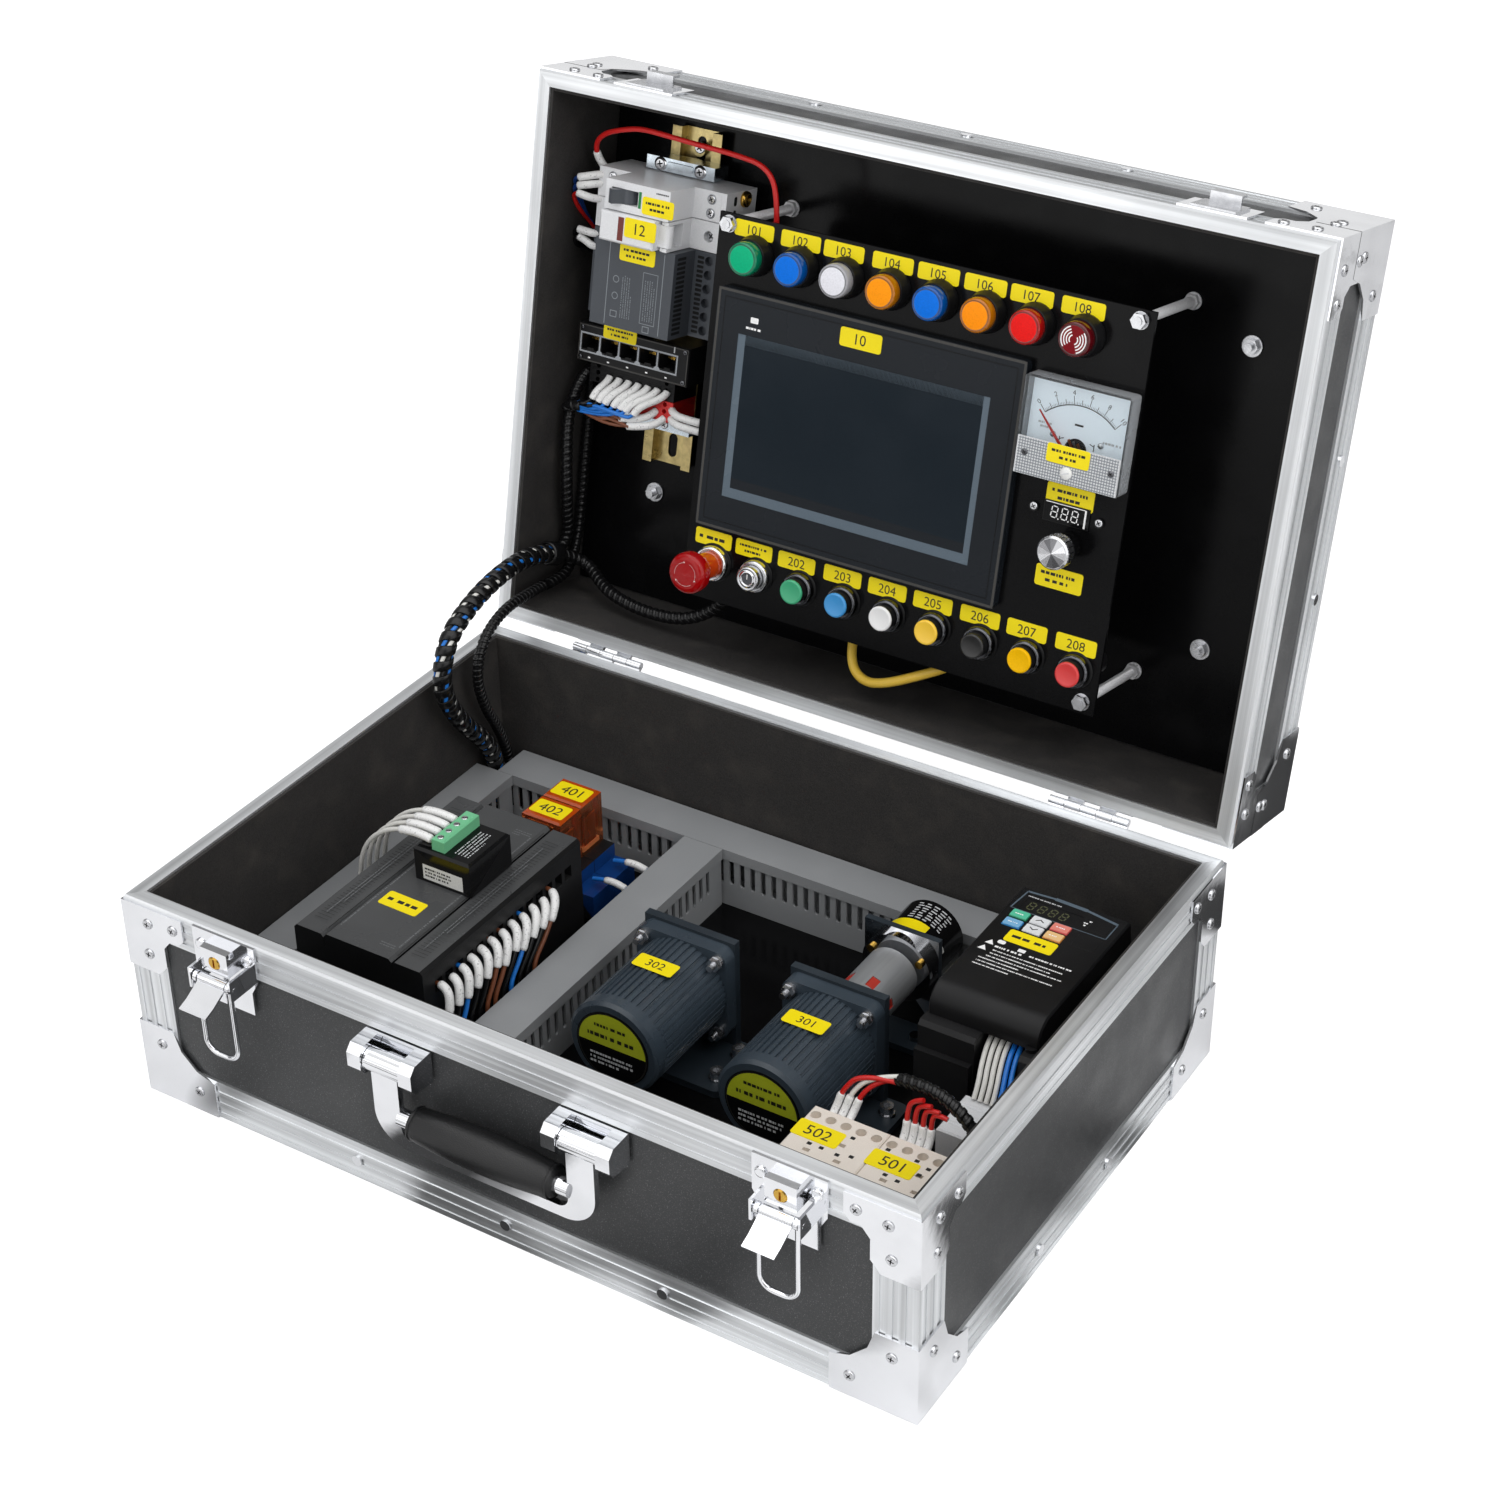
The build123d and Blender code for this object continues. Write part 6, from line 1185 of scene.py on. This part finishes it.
devices.plate(-177, 120.2, -50, -49.2, 18, 4.2, zinc, 1.4, 0.3)
devices.screw(-174, 131, -65.3, 3.6, steel, 40)
devices.screw(-171, -37, -49.9, 2.6, steel, 40)
supply_w = -9.95
for u in (-195.5, -157):
    devices.bar(u, 52.5, supply_w, 0.55, 49, faint_ink)
devices.words(-181.5, 47, supply_w, 27, 8, faint_ink, 5, 90, 0.3)
devices.words(-165.5, 48, supply_w, 26, 8, faint_ink, 5, 90, 0.3)
devices.outline(-170.8, 33, -160.2, 64, supply_w, 0.4, faint_ink)
for v in (56, 46):
    devices.arc(-189.5, v, supply_w, 1.7, 2.2, 0, 360, faint_ink, 24)
for u, v in ((-189.5, 35), (-166, 30)):
    devices.outline(u - 2.4, v - 2.0, u + 2.4, v + 2.0, supply_w, 0.5, faint_ink)
for index in range(17):
    v = 30.2 + 2.8 * index
    supply_side.plate(18, v, -150, -149.9, 9, 1.7, dark_hole, 0.5, 0.04)
    devices.plate(-145.6, v, -32, -31.9, 4.4, 1.7, dark_hole, 0.5, 0.04)
switch_w = -29.92
devices.outline(-224.4, 1.2, -153.6, 13.7, switch_w, 1.0, strip_line)
for index in range(5):
    u = -217 + 14 * index
    if index:
        devices.bar(u - 7, 7.4, switch_w, 1.1, 11.5, strip_line)
        devices.arc(u - 7, 1.7, switch_w + 0.01, 0.02, 2.3, 0, 180, strip_line, 12)
    devices.bar(u, -1.6, switch_w, 1.6, 0.9, white_ink)
    for pin in range(8):
        devices.bar(u - 3.5 + pin, 10, -37.5, 0.45, 3.5, brass)
    devices.plate(u, 3.2, -31.2, -30.4, 4.6, 2.2, dark_hole, 0.3)
for u in (-223.4, -148.6):
    for v in (16.6, -2.0):
        devices.screw(u, v, -30, 1.5, dark_chrome)
devices.bar(-156.5, 16.6, switch_w, 0.9, 3.6, pale_ink)
# A lighter band round the switch's face: painted highlight on its edge.
devices.outline(-225.4, -3.9, -146.6, 18.4, -29.95, 0.7, painted_edge_highlight)
for index in range(3):
    for v in (-22.2, -25.6):
        devices.lathe(-188 + 7.5 * index, v, [(1.3, -39.98), (1.3, -39.9), (0, -39.9)], dark_hole, 14)
devices.make("device_prints", "lid")
fuse_print = Build(LID)
fuse_print.label(-170.6, 90, -2, 22, 11.6, "12")
fuse_print.bar(-184.4, 88, -1.95, 4.0, 14, mark_brown)
fuse_print.make("fuse_label", "fuse_carrier")


# Prints in the base

prints = Build()
for spot in ((-145, -61, CONTROLLER_TOP + 0.02, 27, 13, None, -1, 1),
             (0, -22.5, 89.6, 26, 11.5, "302", 0, 2, 0.5), (97, -22.5, 89.6, 26, 11.5, "301", 0, 2, 0.5),
             (RELAY_X, 99, 86.02, 24, 13.5, "401"), (RELAY_X, 77, 86.02, 24, 13.5, "402"),
             (150, -98, 90.02, 27, 13, "502"), (194, -99, 90.02, 27, 13, "501"),
             (182.5, 71, INVERTER_TOP + 0.02, 29, 11, None, 0, 1)):
    prints.label(*spot)
print_w, groove_w = CONTROLLER_TOP + 0.04, CONTROLLER_TOP + 0.03
for u in (-162.5, -121.5):
    prints.words(u, -32, print_w, 132, 2.6, dim_ink, 1, 90, 0.35)
for u in (-176, -108):
    prints.words(u, -32, print_w, 120, 4.2, dim_ink, 2, 90, 0.3)
    for rib in range(46):
        prints.bar(u, -95 + 2.8 * rib, groove_w, 9.5, 0.3, dark_hole)
for u in (-166.5, -117.5):
    prints.bar(u, -32, groove_w, 0.5, 138, dark_hole)
prints.words(-128, -96, print_w, 12, 4, dim_ink, 2, 0, 0.3)
prints.words(-128, 30, print_w, 12, 6, dim_ink, 3, 0, 0.3)
prints.words(-125, -17.5, 123.04, 26, 11, pale_ink, 5, 90, 0.35)
adapter_front = prints.on(FRONT)
adapter_front.bar(-134.5, 108, 37.04, 28, 10, label_white)
adapter_front.words(-137, 108, 37.08, 20, 7, ink, 3)
for y in ADAPTER_ROWS:
    prints.lathe(-138.5, y, [(1.9, 131.0), (1.9, 131.35), (1.5, 131.5), (0, 131.2)], steel, 18)
    prints.bar(-138.5, y, 131.52, 3, 0.6, dark_hole, 30)
for u, v in ((150, -106.8), (157.1, -106.8), (166.6, -107.3), (167, -92), (173.6, -104.9), (186.8, -90.4),
             (194.9, -107.7), (202.6, -108.8), (203.6, -90.4), (209.6, -99.1), (211.6, -93)):
    prints.plate(u, v, 90.0, 90.05, 2.6, 2.2, dark_hole, 0.3, 0.02)
for index in range(4):
    figure = prints.moved(167.5 + 6.6 * index, 101, 115.85, -6)
    for u, v, angle in SEGMENTS:
        figure.plate(u, v, 0, 0.08, 2.5, 0.7, digit_green, 0.3, 0.03, angle)
legend_w = INVERTER_TOP + 0.04
prints.words(172, 108.8, legend_w, 22, 1.8, pale_ink)
prints.words(207, 104.5, legend_w, 12, 2.2, white_ink)
prints.words(200.5, 101, legend_w, 3.2, 4.2, white_ink, 2)
rim = ((159.5, 112.4, 1.5), (176, 113.6, 2.6), (196, 112.8, 1.8), (216, 109.4, 0.7), (216, 94.2, 0.5),
       (157.8, 94.6, 0.9))
for (u0, v0, wide), (u1, v1, _) in zip(rim, rim[1:] + rim[:1]):
    long, angle = math.hypot(u1 - u0, v1 - v0), math.degrees(math.atan2(v1 - v0, u1 - u0))
    prints.bar((u0 + u1) / 2, (v0 + v1) / 2, legend_w, long, wide, print_grey, angle)
for u, v, width, height in ((208.6, 101.4, 11.5, 11), (208.6, 86, 14, 12)):
    prints.plate(u, v, INVERTER_TOP, INVERTER_TOP + 0.12, width, height, satin_black, 1.0, 0.1)
for u, v in ((163.5, 60.6), (162.2, 54.4)):
    prints.draw([(u - 2.6, v - 2, legend_w), (u + 2.6, v - 2, legend_w), (u, v + 2.2, legend_w)], [[0, 1, 2]],
                white_ink)
for u, v, width, height, radius in ((169, 63.2, 4.6, 3.2, 1.2), (182, 61.6, 4.4, 2.8, 0.4)):
    prints.plate(u, v, INVERTER_TOP + 0.02, INVERTER_TOP + 0.06, width, height, white_ink, radius, 0.02)
prints.words(175.5, 58.2, legend_w, 17, 3.0, white_ink)
prints.words(200.5, 59.4, legend_w, 27, 2.4, white_ink)
for row, (first, last) in enumerate(((167, 212), (167, 205), (166, 214), (163.5, 190), (163, 212),
                                     (163, 186))):
    prints.words((first + last) / 2, 54.6 - 3.0 * row, legend_w, last - first, 1.7, white_ink)
prints.make("base_labels", "case")


# Legends on the inverter's keys

for index, name in enumerate(keys):
    legend = Build().moved(166 + 12.5 * (index % 3), 90 if index < 3 else 81.5, 116.92)
    if name in ("key_up", "key_down"):
        flip = 1 if name == "key_up" else -1
        for side in (-1, 1):
            legend.bar(side * 1.1, 0, 0.03, 3.2, 0.7, ink, -side * flip * 35)
    else:
        legend.words(0, 0, 0.03, 6, 1.6, white_ink)
    legend.plate(0, 0, -0.05, 0.02, 10.1, 6.4, own_colour(name), 0.8, 0.02)
    legend.make(f"{name}_face", name)


# Frames and coils inside the clear relay cases

relay_parts = Build()
for y in RELAYS:
    relay = relay_parts.moved(RELAY_X, y)
    for part in ((0, 0, 51, 54, 24, 17, cream, 0.8, 0.3), (-5, 0, 54, 76, 11, 14, wire_red, 1.2, 0.6),
                 (5.5, 0, 54, 80, 3.0, 14, steel, 0.5, 0.3), (10, 0, 54, 74, 2.0, 12, copper, 0.4, 0.2),
                 (-5, 0, 76, 79, 15, 9, steel, 0.5, 0.3)):
        relay.plate(*part)
relay_parts.make("relay_parts", "case")


# Threads on the four standoffs

threads = Build(LID)
for u, v in RODS:
    threads.lathe(u, v, [(2.55 if k % 2 else 2.95, -68 + 0.5 * k) for k in range(117)], rod_steel, 14, False)
threads.make("standoff_threads", "lid")


# Motor discs

for index, u in enumerate(MOTORS):
    disc = Build(FRONT)
    for w, inner, outer, start, end, material, steps in (
            (65.64, 0.02, 22.6, 0, 180, disc_green, 40), (65.64, 0.02, 22.6, 180, 360, gloss_black, 40),
            (65.66, 22.0, 22.9, 0, 360, ink, 60)):
        disc.arc(u, MOTOR_HEIGHT, w, inner, outer, start, end, material, steps)
    disc.words(u, 66, 65.68, 34, 5, ink)
    disc.words(u, 73, 65.68, 24, 4, ink)
    disc.words(u, 50, 65.68, 30, 9, pale_ink, 3)
    disc.make(f"motor_disc_{index}", "case")


# Encoder label and print, wrapped on its round body

encoder_print = Build()


def wrap_band(y0, y1, first, last, radius, material, steps=14):
    points = []
    for i in range(steps + 1):
        u, v = on_circle(radius, 90 - (first + (last - first) * i / steps), MOTORS[1], MOTOR_HEIGHT)
        points += [(u, y0, v), (u, y1, v)]
    faces = [[2 * i, 2 * i + 2, 2 * i + 3, 2 * i + 1] for i in range(steps)]
    encoder_print.draw(points, faces, material, True)


wrap_band(90, 100, -50, 28, 20.15, label_yellow)
wrap_band(91, 99, 50, 75, 20.1, label_white)
for row in range(7):
    for piece in range(5):
        first = -20 + piece * 14 + chance.uniform(0, 3)
        wrap_band(102 + row * 2.4, 103 + row * 2.4, first, first + chance.uniform(6, 11), 20.12, pale_ink, 4)
encoder_print.make("encoder_label", "case")


# Floor and light

reach, below_case = 6.0, -0.0005
floor_mesh = bpy.data.meshes.new("floor")
floor_mesh.from_pydata([(x, y, below_case) for x, y in ((-reach, -reach), (reach, -reach), (reach, reach),
                                                        (-reach, reach))], [], [(0, 1, 2, 3)])
floor = bpy.data.objects.new("floor", floor_mesh)
scene.collection.objects.link(floor)
floor_paint = bpy.data.materials.new("floor")
floor_mesh.materials.append(floor_paint)
nodes = Nodes(floor_paint)
shader = nodes.tree.nodes["Principled BSDF"]
rays = nodes.add("LightPath")
lift = nodes.add("Math", {0: rays.outputs["Is Camera Ray"], 1: 0.65})
lift.operation = "MULTIPLY"
# In the metal's reflections the floor is dark with pale patches, as a studio's furniture would be
cloud = nodes.noise(nodes.add("TexCoord").outputs["Object"], 8.0, 1.0)
patches = nodes.ramp(cloud, 0.4, 0.47, 0.05, 0.95)
nodes.put(shader, {"Roughness": 0.6, "Specular IOR Level": 0.1, "Emission Color": grey(1),
                   "Emission Strength": lift.outputs["Value"],
                   "Base Color": nodes.mix(rays.outputs["Is Glossy Ray"], grey(0.86), patches)})

world = bpy.data.worlds.new("studio")
scene.world = world
nodes = Nodes(world)
upward = nodes.add("SeparateXYZ", {"Vector": nodes.add("TexCoord").outputs["Generated"]}).outputs["Z"]
bands = nodes.add("ValToRGB", {"Fac": upward})
stops = bands.color_ramp.elements
for stop, value in zip(stops, (0.85, 1.0)):
    stop.color = grey(value)
for position, value in ((0.1, 0.7), (0.2, 0.1), (0.34, 0.06), (0.44, 0.55), (0.62, 0.2), (0.75, 0.9)):
    stops.new(position).color = grey(value)
rays = nodes.add("LightPath")
mirrored = nodes.mix(rays.outputs["Is Glossy Ray"], (0.38, 0.38, 0.385, 1), bands.outputs["Color"])
seen = nodes.mix(rays.outputs["Is Camera Ray"], mirrored, grey(1))
nodes.put(nodes.tree.nodes["Background"], {"Color": seen, "Strength": 1.0})

for name, place, target_height, size, power in (("top_softbox", (0.1, -0.3, 2.2), 0.15, (2.8, 2.6), 28),
                                                ("right_softbox", (1.9, -0.5, 1.25), 0.2, (2.4, 2.2), 22),
                                                ("front_softbox", (-0.7, -2.0, 1.1), 0.25, (2.4, 1.9), 14)):
    light = bpy.data.lights.new(name, "AREA")
    light.shape = "RECTANGLE"
    light.size, light.size_y = size
    light.energy = power
    lamp = bpy.data.objects.new(name, light)
    scene.collection.objects.link(lamp)
    lamp.location = place
    toward = Vector((0, 0, target_height)) - Vector(place)
    lamp.rotation_euler = toward.to_track_quat("-Z", "Y").to_euler()
